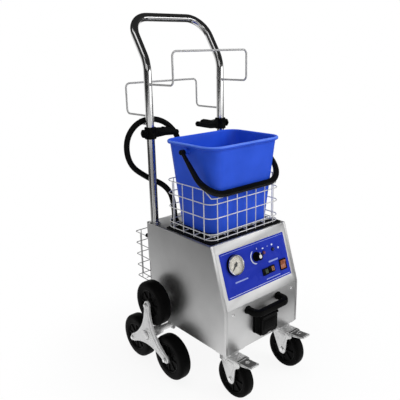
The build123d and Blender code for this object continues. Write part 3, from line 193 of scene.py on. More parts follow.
hose_black = moulded_plastic("hose_rubber", 0.003, 0.006, 0.34, 0.46, 0.04, LOW_SHEEN)
pedal_dark = moulded_plastic("pedal_tread", 0.060, 0.100, 0.34, 0.50, 0.05, HALF_SHEEN)
dial_white = moulded_plastic("dial_white_paint", (0.58, 0.55, 0.48), (0.66, 0.63, 0.55), 0.45, 0.60)
print_white = moulded_plastic("panel_white_print", (0.55, 0.60, 0.78), (0.64, 0.69, 0.86), 0.35, 0.50)
print_pale = moulded_plastic("panel_pale_print", (0.20, 0.26, 0.60), (0.28, 0.34, 0.66), 0.35, 0.50)
scale_grey = moulded_plastic("dial_scale_print", 0.20, 0.28, 0.35, 0.50, plain=LOW_SHEEN)
dial_ink = moulded_plastic("dial_black_ink", 0.004, 0.008, 0.45, 0.60, plain=LOW_SHEEN)
cap_white = moulded_plastic("knob_white_cap", 0.62, 0.72, 0.25, 0.35)
orange_lens = moulded_plastic("orange_lit_rocker", (0.27, 0.078, 0.034), (0.36, 0.105, 0.046), 0.22, 0.34)
amber_lens = moulded_plastic("amber_rocker_half", (0.36, 0.16, 0.08), (0.44, 0.21, 0.11), 0.24, 0.36)
green_lens = moulded_plastic("green_rocker_half", (0.045, 0.070, 0.045), (0.07, 0.10, 0.065), 0.24, 0.36)
red_lamp = moulded_plastic("red_lamp_dome", (0.15, 0.045, 0.09), (0.21, 0.06, 0.12), 0.14, 0.24)
dark_lamp = moulded_plastic("dark_lamp_dome", (0.012, 0.014, 0.05), (0.02, 0.024, 0.08), 0.14, 0.24)
gauge_glass = moulded_plastic("gauge_glass", 0.90, 0.94, 0.02, 0.05, 0.002, CLEAR)
tank_plastic = moulded_plastic("tank_plastic", 0.55, 0.66, 0.35, 0.50)
board_green = moulded_plastic("board_green", (0.01, 0.10, 0.03), (0.02, 0.14, 0.05), 0.30, 0.45)


# Shaping


def frame_at(origin, out, up=None):
    """Placing matrix: its third axis points out, its second one up, or back where out is upright."""
    outward = Vector(out).normalized()
    upward = Vector(up or (BACK if abs(outward.z) > 0.9 else UP))
    upward = (upward - outward * upward.dot(outward)).normalized()
    place = Matrix((upward.cross(outward), upward, outward)).transposed().to_4x4()
    place.translation = Vector(origin)
    return place


def on_side(sign, x, y, z):
    """Place at one side of the cart, its third axis out from the middle."""
    return frame_at((sign * x, y, z), (sign, 0, 0))


PANEL_UP = Vector((0, LEAN, DECK - FOLD)).normalized()
PANEL_OUT = Vector((0, FOLD - DECK, LEAN)).normalized()


def on_panel(x=0.0, along=0.0):
    """Place on the sloped control panel, its third axis out of the casing."""
    return frame_at(Vector((x, FRONT, FOLD)) + along * PANEL_UP, PANEL_OUT, PANEL_UP)


def turned(place, degrees, axis):
    """Place turned about one of its own axes."""
    return place @ Matrix.Rotation(math.radians(degrees), 4, axis)


def corner_arc(before, corner, after, bend, steps):
    """Points of the arc that rounds a corner."""
    before, corner, after = (Vector(point).to_3d() for point in (before, corner, after))
    back = (before - corner).normalized()
    on = (after - corner).normalized()
    angle = back.angle(on)
    centre = corner + (back + on).normalized() * bend / math.sin(angle / 2)
    spoke = corner + back * bend / math.tan(angle / 2) - centre
    turns = [(math.pi - angle) * step / steps for step in range(steps + 1)]
    return [centre + Matrix.Rotation(turn, 3, on.cross(back)) @ spoke for turn in turns]


def rounded(points, radius, steps=5):
    """Outline with its corners rounded; one radius, or one for each corner."""
    outline = []
    for index, bend in enumerate(each(radius, len(points))):
        if bend > 0:
            after = points[(index + 1) % len(points)]
            arc = corner_arc(points[index - 1], points[index], after, bend, steps)
            outline += [point.to_2d() for point in arc]
        else:
            outline.append(Vector(points[index]))
    return outline


def bent_path(points, bend, steps):
    """Points along straight runs with round corners."""
    path = [Vector(points[0])]
    for before, corner, after in zip(points, points[1:], points[2:]):
        path += corner_arc(before, corner, after, bend, steps)
    return [*path, Vector(points[-1])]


def box_outline(width, height, corner=0, middle=(0, 0), steps=5):
    """Rounded rectangle about a middle point."""
    x, y = middle
    signs = ((-1, -1), (1, -1), (1, 1), (-1, 1))
    return rounded([(x + a * width / 2, y + b * height / 2) for a, b in signs], corner, steps)


def ring_outline(radius, count, middle=(0, 0)):
    """Round outline."""
    turns = [2 * math.pi * index / count for index in range(count)]
    return [Vector((middle[0] + radius * math.cos(t), middle[1] + radius * math.sin(t))) for t in turns]


def hexagon(radius):
    return ring_outline(radius, 6)


def lobed_outline(radius, depth, lobes, count):
    """Round outline with shallow lobes."""
    ring = ring_outline(1, count)
    return [point * (radius + depth * math.cos(lobes * math.atan2(point.y, point.x))) for point in ring]


def skin(bm, rings, finishes=0):
    """Faces between rings of points; a ring of one point closes that end."""
    layers = [[bm.verts.new(point) for point in ring] for ring in rings]
    for lower, upper, number in zip(layers, layers[1:], each(finishes, len(layers))):
        for index in range(max(len(lower), len(upper))):
            corners = [lower[index % len(lower)], lower[(index + 1) % len(lower)]]
            corners += [upper[(index + 1) % len(upper)], upper[index % len(upper)]]
            bm.faces.new(dict.fromkeys(corners)).material_index = number


def turned_form(bm, place, profile, steps, finishes=0):
    """Form turned about a place's third axis from (radius, height) points."""
    rings = []
    for radius, height in profile:
        points = ring_outline(radius, steps) if radius > 0 else [Vector((0, 0))]
        rings.append([place @ Vector((*point, height)) for point in points])
    skin(bm, rings, finishes)


def round_pin(bm, place, radius, low, high, steps=24, index=0):
    """Plain pin along a place's third axis."""
    turned_form(bm, place, [(0, low), (radius, low), (radius, high), (0, high)], steps, index)


def slab(bm, place, outline, low, high, edge=0.6, steps=2, index=0, soft="rims"):
    """Plate with an outline; its rims, its top rim or all its edges are softened."""
    bottom = [bm.verts.new(place @ Vector((*point, low))) for point in outline]
    top = [bm.verts.new(place @ Vector((*point, high))) for point in outline]
    rims = [bm.faces.new(bottom[::-1]), bm.faces.new(top)]
    walls = []
    for number in range(len(outline)):
        walls.append(bm.faces.new((bottom[number - 1], bottom[number], top[number], top[number - 1])))
    for face in rims + walls:
        face.material_index = index
    chosen = {"rims": rims, "top": rims[1:], "all": rims + walls}[soft]
    edges = list({rim for face in chosen for rim in face.edges})
    if edge > 0:
        shape = {"segments": steps, "profile": 0.5, "affect": "EDGES", "clamp_overlap": True}
        bmesh.ops.bevel(bm, geom=edges, offset=edge, **shape)


def slab_pair(bm, place, outline, low, high, *edge):
    """Two plates with one outline, mirrored about their place."""
    slab(bm, place, outline, -high, -low, *edge)
    slab(bm, place, outline, low, high, *edge)


def cut_plate(bm, place, outlines, low, high, edge=0.2):
    """Plate with an outer outline and holes, its rims softened."""
    flat = bpy.data.curves.new("plate", "CURVE")
    flat.dimensions = "2D"
    flat.fill_mode = "BOTH"
    flat.extrude = (high - low) / 2 - edge
    flat.bevel_depth = edge
    flat.bevel_resolution = 1
    flat.offset = -edge
    for outline in outlines:
        add_run(flat, [(*point, 0) for point in outline], 1, True)
    add_curve(bm, flat, place @ Matrix.Translation((0, 0, (low + high) / 2)))


def add_run(data, points, bends, closed):
    """Straight runs between points, with a bend radius on each of them."""
    spline = data.splines.new("POLY")
    spline.points.add(len(points) - 1)
    spline.use_cyclic_u = closed
    for point, place, bend in zip(spline.points, points, each(bends, len(points))):
        point.co = (*place, 1)
        point.radius = bend


def add_curve(bm, data, place, index=0):
    """Flat curve or text made a mesh, moved to its place and added."""
    holder = put_in_scene("flat_shape", data)
    mesh = plain_mesh(holder)
    mesh.transform(place)
    known = set(bm.faces)
    bm.from_mesh(mesh)
    corners = {corner for face in bm.faces if face not in known for corner in face.verts}
    bmesh.ops.remove_doubles(bm, verts=list(corners), dist=0.001)
    fresh = [face for face in bm.faces if face not in known]
    bmesh.ops.recalc_face_normals(bm, faces=fresh)
    for face in fresh:
        face.material_index = index
    bpy.data.objects.remove(holder)
    bpy.data.meshes.remove(mesh)


def numeral(bm, place, text, size, index):
    """Small printed number."""
    data = bpy.data.curves.new("numeral", "FONT")
    data.body = text
    data.size = size
    data.align_x = "CENTER"
    data.align_y = "CENTER"
    data.extrude = 0.03
    add_curve(bm, data, place, index)


def face_outwards(bm):
    bmesh.ops.recalc_face_normals(bm, faces=bm.faces)


def put_in_scene(name, data):
    """Object for a mesh, a curve, a lamp or a camera."""
    made = bpy.data.objects.new(name, data)
    bpy.context.collection.objects.link(made)
    return made


def plain_mesh(source):
    """Mesh of what an object's curve or modifiers make."""
    depsgraph = bpy.context.evaluated_depsgraph_get()
    return bpy.data.meshes.new_from_object(source.evaluated_get(depsgraph))


def mesh_of(name, bm):
    """Mesh of a finished form."""
    mesh = bpy.data.meshes.new(name)
    bm.to_mesh(mesh)
    bm.free()
    return mesh


def piece(name, bm, materials, node=None, body="chassis", sharp=32):
    """Finished piece, riding on a body and standing for a CAD node."""
    mesh = mesh_of(name, bm)
    for material in materials:
        mesh.materials.append(material)
    return dress(name, mesh, node, body, sharp)


def dress(name, mesh, node, body, sharp=32):
    """Object for a finished mesh in metres, with its body and CAD node."""
    mesh.transform(Matrix.Scale(MM, 4))
    mesh.shade_smooth()
    mesh.set_sharp_from_angle(angle=math.radians(sharp))
    made = put_in_scene(name, mesh)
    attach(made, body)
    if node:
        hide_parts(node)
    return made


# Node trees for what repeats or follows a path


def new_tree(name, **sockets):
    """Geometry node tree with named inputs, from its geometry to its finish."""
    tree = bpy.data.node_groups.new(name, "GeometryNodeTree")
    for label, kind in {"Geometry": "Geometry", **sockets, "Finish": "Material"}.items():
        tree.interface.new_socket(label, in_out="INPUT", socket_type=f"NodeSocket{kind}")
    tree.interface.new_socket("Geometry", in_out="OUTPUT", socket_type="NodeSocketGeometry")
    return tree, tree.nodes.new("NodeGroupInput").outputs


def close_tree(tree, shape, given):
    """Real geometry with its finish at the end of a tree."""
    real = add_node(tree, "GeometryNodeRealizeInstances", {"Geometry": shape})
    inputs = {"Geometry": real.outputs[0], "Material": given["Finish"]}
    done = add_node(tree, "GeometryNodeSetMaterial", inputs)
    tree.links.new(done.outputs[0], tree.nodes.new("NodeGroupOutput").inputs[0])
    return tree


def round_wire(tree, curve, given):
    """Round wire or tube along a curve, with closed ends."""
    sizes = {"Resolution": given["Sides"], "Radius": given["Radius"]}
    ring = add_node(tree, "GeometryNodeCurvePrimitiveCircle", sizes)
    shape = {"Curve": curve, "Profile Curve": ring.outputs[0], "Fill Caps": True}
    return add_node(tree, "GeometryNodeCurveToMesh", shape).outputs[0]


def bent_wire_tree():
    """Wire along straight runs, each corner bent to the radius kept on its point."""
    tree, given = new_tree("bent_wire", Radius="Float", Sides="Int", Bends="Int")
    bend = add_node(tree, "GeometryNodeInputRadius")
    corners = {"Curve": given["Geometry"], "Count": given["Bends"], "Radius": bend.outputs[0]}
    bent = add_node(tree, "GeometryNodeFilletCurve", {**corners, "Limit Radius": True}, mode="POLY")
    even = add_node(tree, "GeometryNodeSetCurveRadius", {"Curve": bent.outputs[0], "Radius": 1.0})
    return close_tree(tree, round_wire(tree, even.outputs[0], given), given)


def wire_row_tree():
    """Row of straight wires at an even pitch, added to what is there."""
    places = {"Count": "Int", "First": "Vector", "Step": "Vector", "Run": "Vector"}
    tree, given = new_tree("wire_row", **places, Radius="Float", Sides="Int")
    line = add_node(tree, "GeometryNodeCurvePrimitiveLine", {"End": given["Run"]})
    pitch = {"Count": given["Count"], "Start Location": given["First"], "Offset": given["Step"]}
    feet = add_node(tree, "GeometryNodeMeshLine", pitch, mode="OFFSET", count_mode="TOTAL")
    copies = {"Points": feet.outputs[0], "Instance": round_wire(tree, line.outputs[0], given)}
    both = add_node(tree, "GeometryNodeJoinGeometry", {0: given["Geometry"]})
    tree.links.new(add_node(tree, "GeometryNodeInstanceOnPoints", copies).outputs[0], both.inputs[0])
    return close_tree(tree, both.outputs[0], given)


def place_copies(tree, given, points, turn):
    """Copies of the given shape at points, each with its turn, at the end of a tree."""
    shape = add_node(tree, "GeometryNodeObjectInfo", {"Object": given["Shape"]})
    copies = {"Points": points, "Instance": shape.outputs["Geometry"], "Rotation": turn.outputs[0]}
    return close_tree(tree, add_node(tree, "GeometryNodeInstanceOnPoints", copies).outputs[0], given)


def copies_at_points_tree():
    """Copies of a shape at points, each standing along the point's own direction."""
    tree, given = new_tree("copies_at_points", Shape="Object")
    way = add_node(tree, "GeometryNodeInputNamedAttribute", {"Name": "out"}, data_type="FLOAT_VECTOR")
    turn = add_node(tree, "FunctionNodeAlignRotationToVector", {"Vector": way.outputs[0]}, axis="Z")
    return place_copies(tree, given, given["Geometry"], turn)


def turned_copies_tree():
    """Copies of a shape turned about one axis at an even step."""
    tree, given = new_tree("turned_copies", Shape="Object", Count="Int", First="Float", Step="Float")
    index = add_node(tree, "GeometryNodeInputIndex")
    sums = {0: index.outputs[0], 1: given["Step"], 2: given["First"]}
    angle = add_node(tree, "ShaderNodeMath", sums, operation="MULTIPLY_ADD")
    turn = add_node(tree, "ShaderNodeCombineXYZ", {"Z": angle.outputs[0]})
    points = add_node(tree, "GeometryNodePoints", {"Count": given["Count"]})
    return place_copies(tree, given, points.outputs[0], turn)


bent_wire = bent_wire_tree()
wire_row = wire_row_tree()
copies_at_points = copies_at_points_tree()
turned_copies = turned_copies_tree()


def shape_of(bm):
    """Working object for a shape that is copied, in millimetres."""
    return put_in_scene("working_shape", mesh_of("working_mesh", bm))


def run_lines(runs):
    """Working curve of straight runs: (points, bend radii, closed)."""
    data = bpy.data.curves.new("runs", "CURVE")
    data.dimensions = "3D"
    for run in runs:
        add_run(data, *run)
    return put_in_scene("working_shape", data)


def points_with_directions(places):
    """Working points, each with the direction its copy stands along."""
    mesh = bpy.data.meshes.new("points")
    mesh.from_pydata([place for place, _ in places], [], [])
    ways = mesh.attributes.new("out", "FLOAT_VECTOR", "POINT")
    for entry, (_, way) in zip(ways.data, places):
        entry.vector = way
    return put_in_scene("working_shape", mesh)


def grown(name, slot, *layers, source=None, node=None, body="chassis", place=None):
    """Piece that node trees make, from a working shape or from nothing, kept as a plain mesh."""
    source = source or shape_of(bmesh.new())
    used = {source}
    for tree, values in layers:
        step = source.modifiers.new(tree.name, "NODES")
        step.node_group = tree
        for item in tree.interface.items_tree:
            if item.in_out == "INPUT" and item.name in values:
                step[item.identifier] = values[item.name]
        used.add(values.get("Shape", source))
    mesh = plain_mesh(source)
    for shape in used:
        bpy.data.objects.remove(shape)
    mesh.transform(place or Matrix())
    mesh.name = name
    return dress(name, mesh, node, body)


THIN_WIRE = 1.5


def wires(material, radius=THIN_WIRE, sides=10, bends=6):
    """Layer of wires along a working curve."""
    return bent_wire, {"Radius": radius, "Sides": sides, "Bends": bends, "Finish": material}


def row(material, count, first, step, run, radius=THIN_WIRE, sides=10):
    """Layer that adds a row of straight wires."""
    places = {"Count": count, "First": first, "Step": step, "Run": run}
    return wire_row, {**places, "Radius": radius, "Sides": sides, "Finish": material}


def standing_copies(material, bm):
    """Layer of copies that stand on working points."""
    return copies_at_points, {"Shape": shape_of(bm), "Finish": material}


def round_copies(material, bm, count, first=0.0, step=None):
    """Layer of copies turned about the third axis, all round or by a step."""
    turns = {"Count": count, "First": first, "Step": step or 2 * math.pi / count}
    return turned_copies, {"Shape": shape_of(bm), **turns, "Finish": material}


# Steam hose with its connector, and the glands

HOSE_FOOT = (-99, 102.5)
HOSE_RADIUS = 9


def steam_hose():
    """Rubber hose from the deck gland, over the wire hook behind the left pole."""
    route = (
        (*HOSE_FOOT, 486),
        (*HOSE_FOOT, 548),
        (-104.5, 137.5, 590),
        (-141.5, 183, 613),
        (-199, 196.5, 661),
        (-209, 191.5, 744),
        (-165, 176.5, 799.5),
        (-84, 172.5, 796),
        (-20, 173.5, 741),
        (-14, 169.5, 668),
        (-12, 167.5, 601),
    )
    data = bpy.data.curves.new("steam_hose_line", "CURVE")
    data.dimensions = "3D"
    spline = data.splines.new("NURBS")
    spline.points.add(len(route) - 1)
    for point, place in zip(spline.points, route):
        point.co = (*(MM * value for value in place), 1)
    spline.order_u = 3
    spline.use_endpoint_u = True
    data.resolution_u = 16
    data.bevel_depth = HOSE_RADIUS * MM
    data.bevel_resolution = 6
    data.use_fill_caps = True
    data.materials.append(hose_black)
    hose = put_in_scene("steam_hose_tube", data)
    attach(hose, "chassis")
    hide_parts("steam_hose")

    bm = bmesh.new()
    end = frame_at(route[-1], Vector(route[-1]) - Vector(route[-2]))
    collar = [(0, -3), (10, -3), (12.4, -1.5), (13, 0), (13, 5), (12, 6), (12, 8), (13, 9), (13, 14)]
    collar += [(12, 15), (12, 17), (13, 18), (13, 24), (12, 26), (9, 26)]
    barrel = [(9.6, 27), (10.5, 28), (10.5, 40), (9.4, 41), (9.4, 44), (10.5, 45), (10.5, 60)]
    barrel += [(9.6, 62), (9.6, 68), (8.4, 70), (6, 70), (5.2, 66), (0, 66)]
    turned_form(bm, end, collar + barrel, 36, [0] * (len(collar) - 1) + [1] * len(barrel))
    connector = piece("hose_end_fitting", bm, [black_plastic, brass], "hose_connector")


def glands():
    """Hose gland on the deck and mains gland on the rear wall."""
    bm = bmesh.new()
    deck_gland = frame_at((*HOSE_FOOT, DECK), UP)
    slab(bm, deck_gland, hexagon(15), 0, 7, 1.0)
    nut = [(0, 6.5), (14, 6.5), (14, 8), (13.4, 9.2), (12, 14.2), (11, 15), (0, 15)]
    turned_form(bm, deck_gland, nut, 36)
    rear_gland = frame_at((85, LOWER_REAR, 205), BACK)
    slab(bm, rear_gland, hexagon(12), 0, 6, 0.9)
    sleeve = [(0, 5), (11, 5), (11, 8), (9, 9), (8, 18), (7, 20), (4, 20), (4, 17), (0, 17)]
    turned_form(bm, rear_gland, sleeve, 32)
    piece("deck_and_rear_glands", bm, [black_plastic], "glands")


steam_hose()
glands()


# Casing

PAN = 10
SHEET = 1.5
BETWEEN_PANS = 2 * 149.6
REAR_STEP_TOP = 347
REAR_STEP_FOOT = 333

# Places on the control panel, across it and up its slope
GAUGE = (-87, 122)
DIAL_START = 225
DIAL_SWEEP = 270
NUMBER_RADIUS = 15.6
TICK_RADIUS = 23.4
KNOB = (3, 122)
LAMPS = ((37, 125), (77.5, 125.5))
ROCKERS = (
    ("steam_rocker", (28.5, 68), (20, 15), False, (black_plastic, green_lens)),
    ("pump_rocker", (56.5, 69), (20, 15), False, (black_plastic, amber_lens)),
    ("mains_rocker", (108, 69), (28, 24), True, (orange_lens, orange_lens)),
)


def panel_holes(grow):
    """Holes in the sloped sheet and its overlay, under the parts they carry."""
    holes = [ring_outline(24.2 + grow, 40, GAUGE), ring_outline(3.2 + grow, 16, KNOB)]
    holes += [ring_outline(4.2 + grow, 16, place) for place in LAMPS]
    for _, place, size, upright, _ in ROCKERS:
        width, height = (side + 4 + 2 * grow for side in (size[::-1] if upright else size))
        holes.append(box_outline(width, height, 0.8, place, 2))
    return holes


def flat_sheet(name, node, place, low, high):
    """Level or upright sheet between the side pans."""
    bm = bmesh.new()
    outline = box_outline(BETWEEN_PANS, high - low, middle=(0, (low + high) / 2))
    slab(bm, place, outline, -SHEET, 0, 0.5, soft="all")
    piece(name, bm, [stainless], node)


def casing():
    """Folded side pans with the front, sloped, deck and rear sheets set between them."""
    outline = [(FRONT, BASE), (FRONT, FOLD), (FRONT + LEAN, DECK), (REAR, DECK)]
    outline += [(REAR, REAR_STEP_TOP), (LOWER_REAR, REAR_STEP_FOOT), (LOWER_REAR, BASE)]
    for side, sign in SIDES:
        bm = bmesh.new()
        place = on_side(sign, HALF_WIDTH - PAN, 0, 0)
        face = [(sign * y, z) for y, z in outline][::-sign]
        slab(bm, place, face, 0, PAN, 3.2, 4, soft="top")
        piece(f"{side}_side_pan", bm, [stainless], f"{side}_side_panel")

    flat_sheet("front_sheet", "front_panel", frame_at((0, FRONT, 0), AHEAD), BASE, FOLD)

    bm = bmesh.new()
    slope = math.hypot(LEAN, DECK - FOLD)
    outlines = [box_outline(BETWEEN_PANS, slope - 0.6, 1, (0, slope / 2))]
    cut_plate(bm, on_panel(), outlines + panel_holes(0), -SHEET, 0, 0.4)
    piece("sloped_sheet", bm, [stainless], "control_panel")

    deck = frame_at((0, 0, DECK), UP)
    flat_sheet("deck_sheet", "deck_panel", deck, FRONT + LEAN + 0.3, REAR - 0.3)

    bm = bmesh.new()
    rear = frame_at((-BETWEEN_PANS / 2, 0, 0), RIGHT)
    strip = [(REAR, DECK - 0.5), (REAR - SHEET, DECK - 0.5), (REAR - SHEET, REAR_STEP_TOP + 0.6)]
    strip += [(LOWER_REAR - SHEET, REAR_STEP_FOOT + 0.6), (LOWER_REAR - SHEET, BASE), (LOWER_REAR, BASE)]
    strip += [(LOWER_REAR, REAR_STEP_FOOT), (REAR, REAR_STEP_TOP)]
    slab(bm, rear, strip, 0, BETWEEN_PANS, 0.4, soft="all")
    piece("rear_sheet", bm, [stainless], "rear_panel")


def casing_screws():
    """Dome-headed screws with a recess, two in front and four behind."""
    bm = bmesh.new()
    head = [(0, -0.2), (5.2, 0), (5.0, 0.6), (4.4, 1.8), (3.2, 2.6), (1.8, 2.7), (1.5, 1.5), (0, 1.5)]
    turned_form(bm, Matrix(), head, 20)
    places = [((sign * 128, FRONT, 271), AHEAD) for _, sign in SIDES]
    for _, sign in SIDES:
        places += [((sign * 110, LOWER_REAR, 190), BACK), ((sign * 110, REAR, 440), BACK)]
    screws = standing_copies(screw_steel, bm)
    source = points_with_directions(places)
    grown("casing_dome_screws", "screw_steel", screws, source=source, node="casing_screws")


def rear_trim():
    """Pressed louvres, foot rings of the poles and thumbscrews of the rear basket."""
    bm = bmesh.new()
    hood = [(2.6, 0), (2.6, 3.0), (1.4, 3.4), (-0.6, 3.2), (-2.2, 1.6), (-2.6, 0)]
    half = [(22, 1.0), (26.5, 0.85), (29, 0.5), (30, 0.0)]
    rings = []
    for x, swell in [(-x, swell) for x, swell in half[::-1]] + half:
        rings.append([Vector((x, y, max(z * swell, 0.02))) for y, z in hood])
    skin(bm, rings)
    bmesh.ops.holes_fill(bm, edges=bm.edges, sides=8)
    face_outwards(bm)
    spots = [((x, LOWER_REAR, 176 + 11 * level), BACK) for x in (-74, 0) for level in range(5)]
    louvres = standing_copies(stainless, bm)
    grown("rear_louvres", "stainless", louvres, source=points_with_directions(spots))

    bm = bmesh.new()
    ring = [(12.4, 7), (12.4, 0), (18.4, 0), (18.2, 1.2), (17.5, 2.0), (14.4, 3.0), (14.0, 6.2), (13.4, 7)]
    for _, sign in SIDES:
        foot = frame_at((sign * POLE_X, POLE_Y, DECK), UP)
        turned_form(bm, foot, ring + ring[:1], 36)
    piece("pole_foot_rings", bm, [bright_wire])

    bm = bmesh.new()
    for _, sign in SIDES:
        grip = frame_at((sign * 150, REAR, 418), BACK)
        slab(bm, grip, lobed_outline(6.6, 0.7, 8, 48), 5, 17, 1.2)
        round_pin(bm, grip, 4, 0, 5.5, 20)
    piece("rear_basket_thumbscrews", bm, [black_plastic])


casing()
casing_screws()
rear_trim()


# Control panel


def mark(bm, outline):
    """Thin print on the overlay."""
    slab(bm, on_panel(), outline, 0.78, 0.86, 0)


def control_overlay():
    """Printed film with its pale lines, marks and bare label fields."""
    bm = bmesh.new()
    film = box_outline(274, 135, 3, (0, 98))
    cut_plate(bm, on_panel(), [film] + panel_holes(0.1), 0, 0.8, 0.15)
    piece("overlay_film", bm, [overlay_blue], "control_overlay")

    bm = bmesh.new()
    mark(bm, box_outline(262, 1.3, middle=(0, 35.5)))
    outer, inner = [], []
    for step in range(25):
        angle = math.radians(118 + step * 150 / 24)
        ray = Vector((math.cos(angle), math.sin(angle)))
        width = 2.1 * math.sin(math.pi * step / 24) ** 0.5
        outer.append(Vector(KNOB) + (21.5 + width) * ray)
        inner.append(Vector(KNOB) + (21.3 - width) * ray)
    mark(bm, outer + inner[::-1])
    for place, size in (((11.7, 144), (2.6, 5)), ((37, 138.5), (7, 3.6)), ((78, 140), (6.4, 5))):
        mark(bm, box_outline(*size, 1.1, place, 3))
    mark(bm, ring_outline(3.3, 20, (103.5, 124)))
    piece("overlay_print", bm, [print_white])

    bm = bmesh.new()
    mark(bm, box_outline(262, 1.1, middle=(0, 160.5)))
    mark(bm, box_outline(4.4, 3, 1.1, (57.5, 140), 3))
    for start, end, along, height in ((-98, -46, 71, 4), (50, 92, 92, 5), (27, 89, 44, 2.6)):
        mark(bm, box_outline(end - start, height, 1, ((start + end) / 2, along)))
    piece("overlay_label_fields", bm, [print_pale])


def pressure_gauge():
    """Chrome bezel, printed dial, needle and glass."""
    place = on_panel(*GAUGE)
    bm = bmesh.new()
    back = [(0, 0.8), (30.6, 0.8), (30.8, 2.0), (30.0, 3.0)]
    bezel = [(30.0, 9.0), (29.6, 11.0), (28.9, 12.3), (28.2, 12.8), (27.7, 12.6), (27.5, 12.0)]
    bezel += [(27.5, 10.8), (26.2, 10.4), (26.0, 4.8), (0, 4.8)]
    # The case's side below the bezel is black all round. This is a black case, and its black also stands in
    # for the dark reflection on the case's left side, a painted reflection.
    turned_form(bm, place, back + bezel, 64, [1] * len(back) + [0] * (len(bezel) - 1))
    piece("gauge_bezel", bm, [gauge_chrome, black_plastic], "gauge_case")

    bm = bmesh.new()
    turned_form(bm, place, [(0, 4.85), (25.9, 4.85), (25.9, 5.6), (25.6, 5.8), (0, 5.8)], 64)
    for number in range(6):
        angle = math.radians(DIAL_START - DIAL_SWEEP * number / 5)
        x, y = NUMBER_RADIUS * math.cos(angle), NUMBER_RADIUS * math.sin(angle)
        numeral(bm, place @ Matrix.Translation((x, y, 5.84)), str(2 * number), 5.4, 1)
    piece("gauge_face", bm, [dial_white, scale_grey], "gauge_dial")

    for name, count, width, reach in (("fine", 51, 0.45, 2.2), ("main", 11, 0.9, 4.0)):
        bm = bmesh.new()
        tick = box_outline(reach, width, middle=(TICK_RADIUS - reach / 2, 0))
        slab(bm, Matrix(), tick, 5.79, 5.86, 0)
        step = math.radians(DIAL_SWEEP) / (count - 1)
        ticks = round_copies(scale_grey, bm, count, math.radians(DIAL_START - DIAL_SWEEP), step)
        grown(f"gauge_{name}_ticks", "needle_black", ticks, place=place)

    bm = bmesh.new()
    hand = turned(place, DIAL_START, "Z")
    edge = [(-9, 3.4), (-1.5, 2.9), (12, 2.0), (20.5, 0.8)]
    blade = [(x, -y) for x, y in edge] + edge[::-1]
    slab(bm, hand, blade, 6.4, 7.2, 0.2, 1)
    turned_form(bm, hand, [(0, 6.1), (5.2, 6.1), (5.2, 7.9), (4.3, 8.5), (0, 8.6)], 28)
    piece("gauge_hand", bm, [dial_ink], "gauge_needle", "gauge_needle")

    bm = bmesh.new()
    dome = [(0, 10.9), (27.3, 10.9), (27.3, 11.4), (26, 11.8), (20, 12.2), (10, 12.45), (0, 12.5)]
    turned_form(bm, place, dome, 64)
    piece("gauge_window", bm, [gauge_glass], "gauge_lens")


def steam_knob():
    """Fluted knob with a white cap and pointer line."""
    place = on_panel(*KNOB)
    bm = bmesh.new()
    skirt = [(0, 1.1), (14.0, 1.1), (14.5, 1.6), (14.5, 3.8), (13.8, 4.8), (11.4, 5.4), (10.6, 6.0)]
    skirt += [(10.3, 19.0), (9.8, 20.4), (8.6, 21.0), (6.2, 21.1)]
    cap = [(6.0, 20.5), (5.6, 20.6), (5.2, 21.1), (0, 21.2)]
    turned_form(bm, place, skirt + cap, 48, [0] * len(skirt) + [1] * (len(cap) - 1))
    slab(bm, place, box_outline(1.3, 8, 0.4, (0, 9.6)), 20.0, 21.3, 0.15, 1, 1)
    piece("steam_knob_body", bm, [black_plastic, cap_white], "steam_knob", "steam_knob")
    bm = bmesh.new()
    slab(bm, Matrix(), box_outline(1.8, 1.9, 0.6, (10.7, 0), 3), 5.6, 19.6, 0.5)
    flutes = round_copies(black_plastic, bm, 18)
    grown("steam_knob_flutes", "black_plastic", flutes, body="steam_knob", place=place)


def rocker_button(name, place, length, width, finishes):
    """Two-tone rocker on its axle, one end pressed."""
    bm = bmesh.new()
    pressed = turned(place @ Matrix.Translation((0, 0, -1.2)), -9, "Y")
    across = turned(pressed, 90, "X")
    half = length / 2 - 0.9
    deep = (width - 0.8) / 2
    left = [(-half, -4), (0, -4), (0, 3.2), (-half * 0.5, 3.9), (-half, 5.4)]
    right = [(-x, y) for x, y in left][::-1]
    for index, outline in enumerate((left, right)):
        slab(bm, across, outline, -deep, deep, 0.45, 2, index, "all")
    slab(bm, pressed, box_outline(1.0, deep * 0.9, 0.3, (half * 0.55, 0), 2), 3.2, 4.6, 0.1, 1, 2)
    reach = width / 2 + 1.1
    round_pin(bm, across, 1.2, -reach, reach, 12)
    piece(f"{name}_button", bm, [*finishes, dial_ink], name, name)


def switches():
    """Rockers in their frames, and the two lamps."""
    frames = bmesh.new()
    for name, spot, (length, width), upright, finishes in ROCKERS:
        place = turned(on_panel(*spot), 90 if upright else 0, "Z")
        opening = box_outline(length + 0.2, width + 0.2, 0.6, steps=2)
        cut_plate(frames, place, [box_outline(length + 6, width + 6, 2.0), opening], 0.75, 3.3, 0.5)
        cut_plate(frames, place, [box_outline(length + 3.6, width + 3.6, 1.0), opening], -14, 1.0)
        rocker_button(name, place, length, width, finishes)
    piece("switch_frames", frames, [black_plastic], "switch_bezels")

    bm = bmesh.new()
    flange = [(0, 0.7), (6.0, 0.7), (6.0, 1.6), (5.7, 2.2), (5.3, 2.3)]
    dome = [(5.2, 2.4), (5.1, 4.0), (4.4, 5.6), (3.0, 6.8), (1.4, 7.3), (0, 7.4)]
    for index, spot in enumerate(LAMPS, 1):
        finishes = [0] * len(flange) + [index] * (len(dome) - 1)
        turned_form(bm, on_panel(*spot), flange + dome, 28, finishes)
    piece("panel_lamps", bm, [black_plastic, red_lamp, dark_lamp], "indicator_lamps")


control_overlay()
pressure_gauge()
steam_knob()
switches()


# Front socket and lifting handle

SOCKET_X = -8
SOCKET_Z = 211.5
HINGE_Y = FRONT - 32.5
HINGE_Z = 242
GRIP_ENDS = (-69, 63)
GRIP_Z = 267
GRIP_REACH = 40


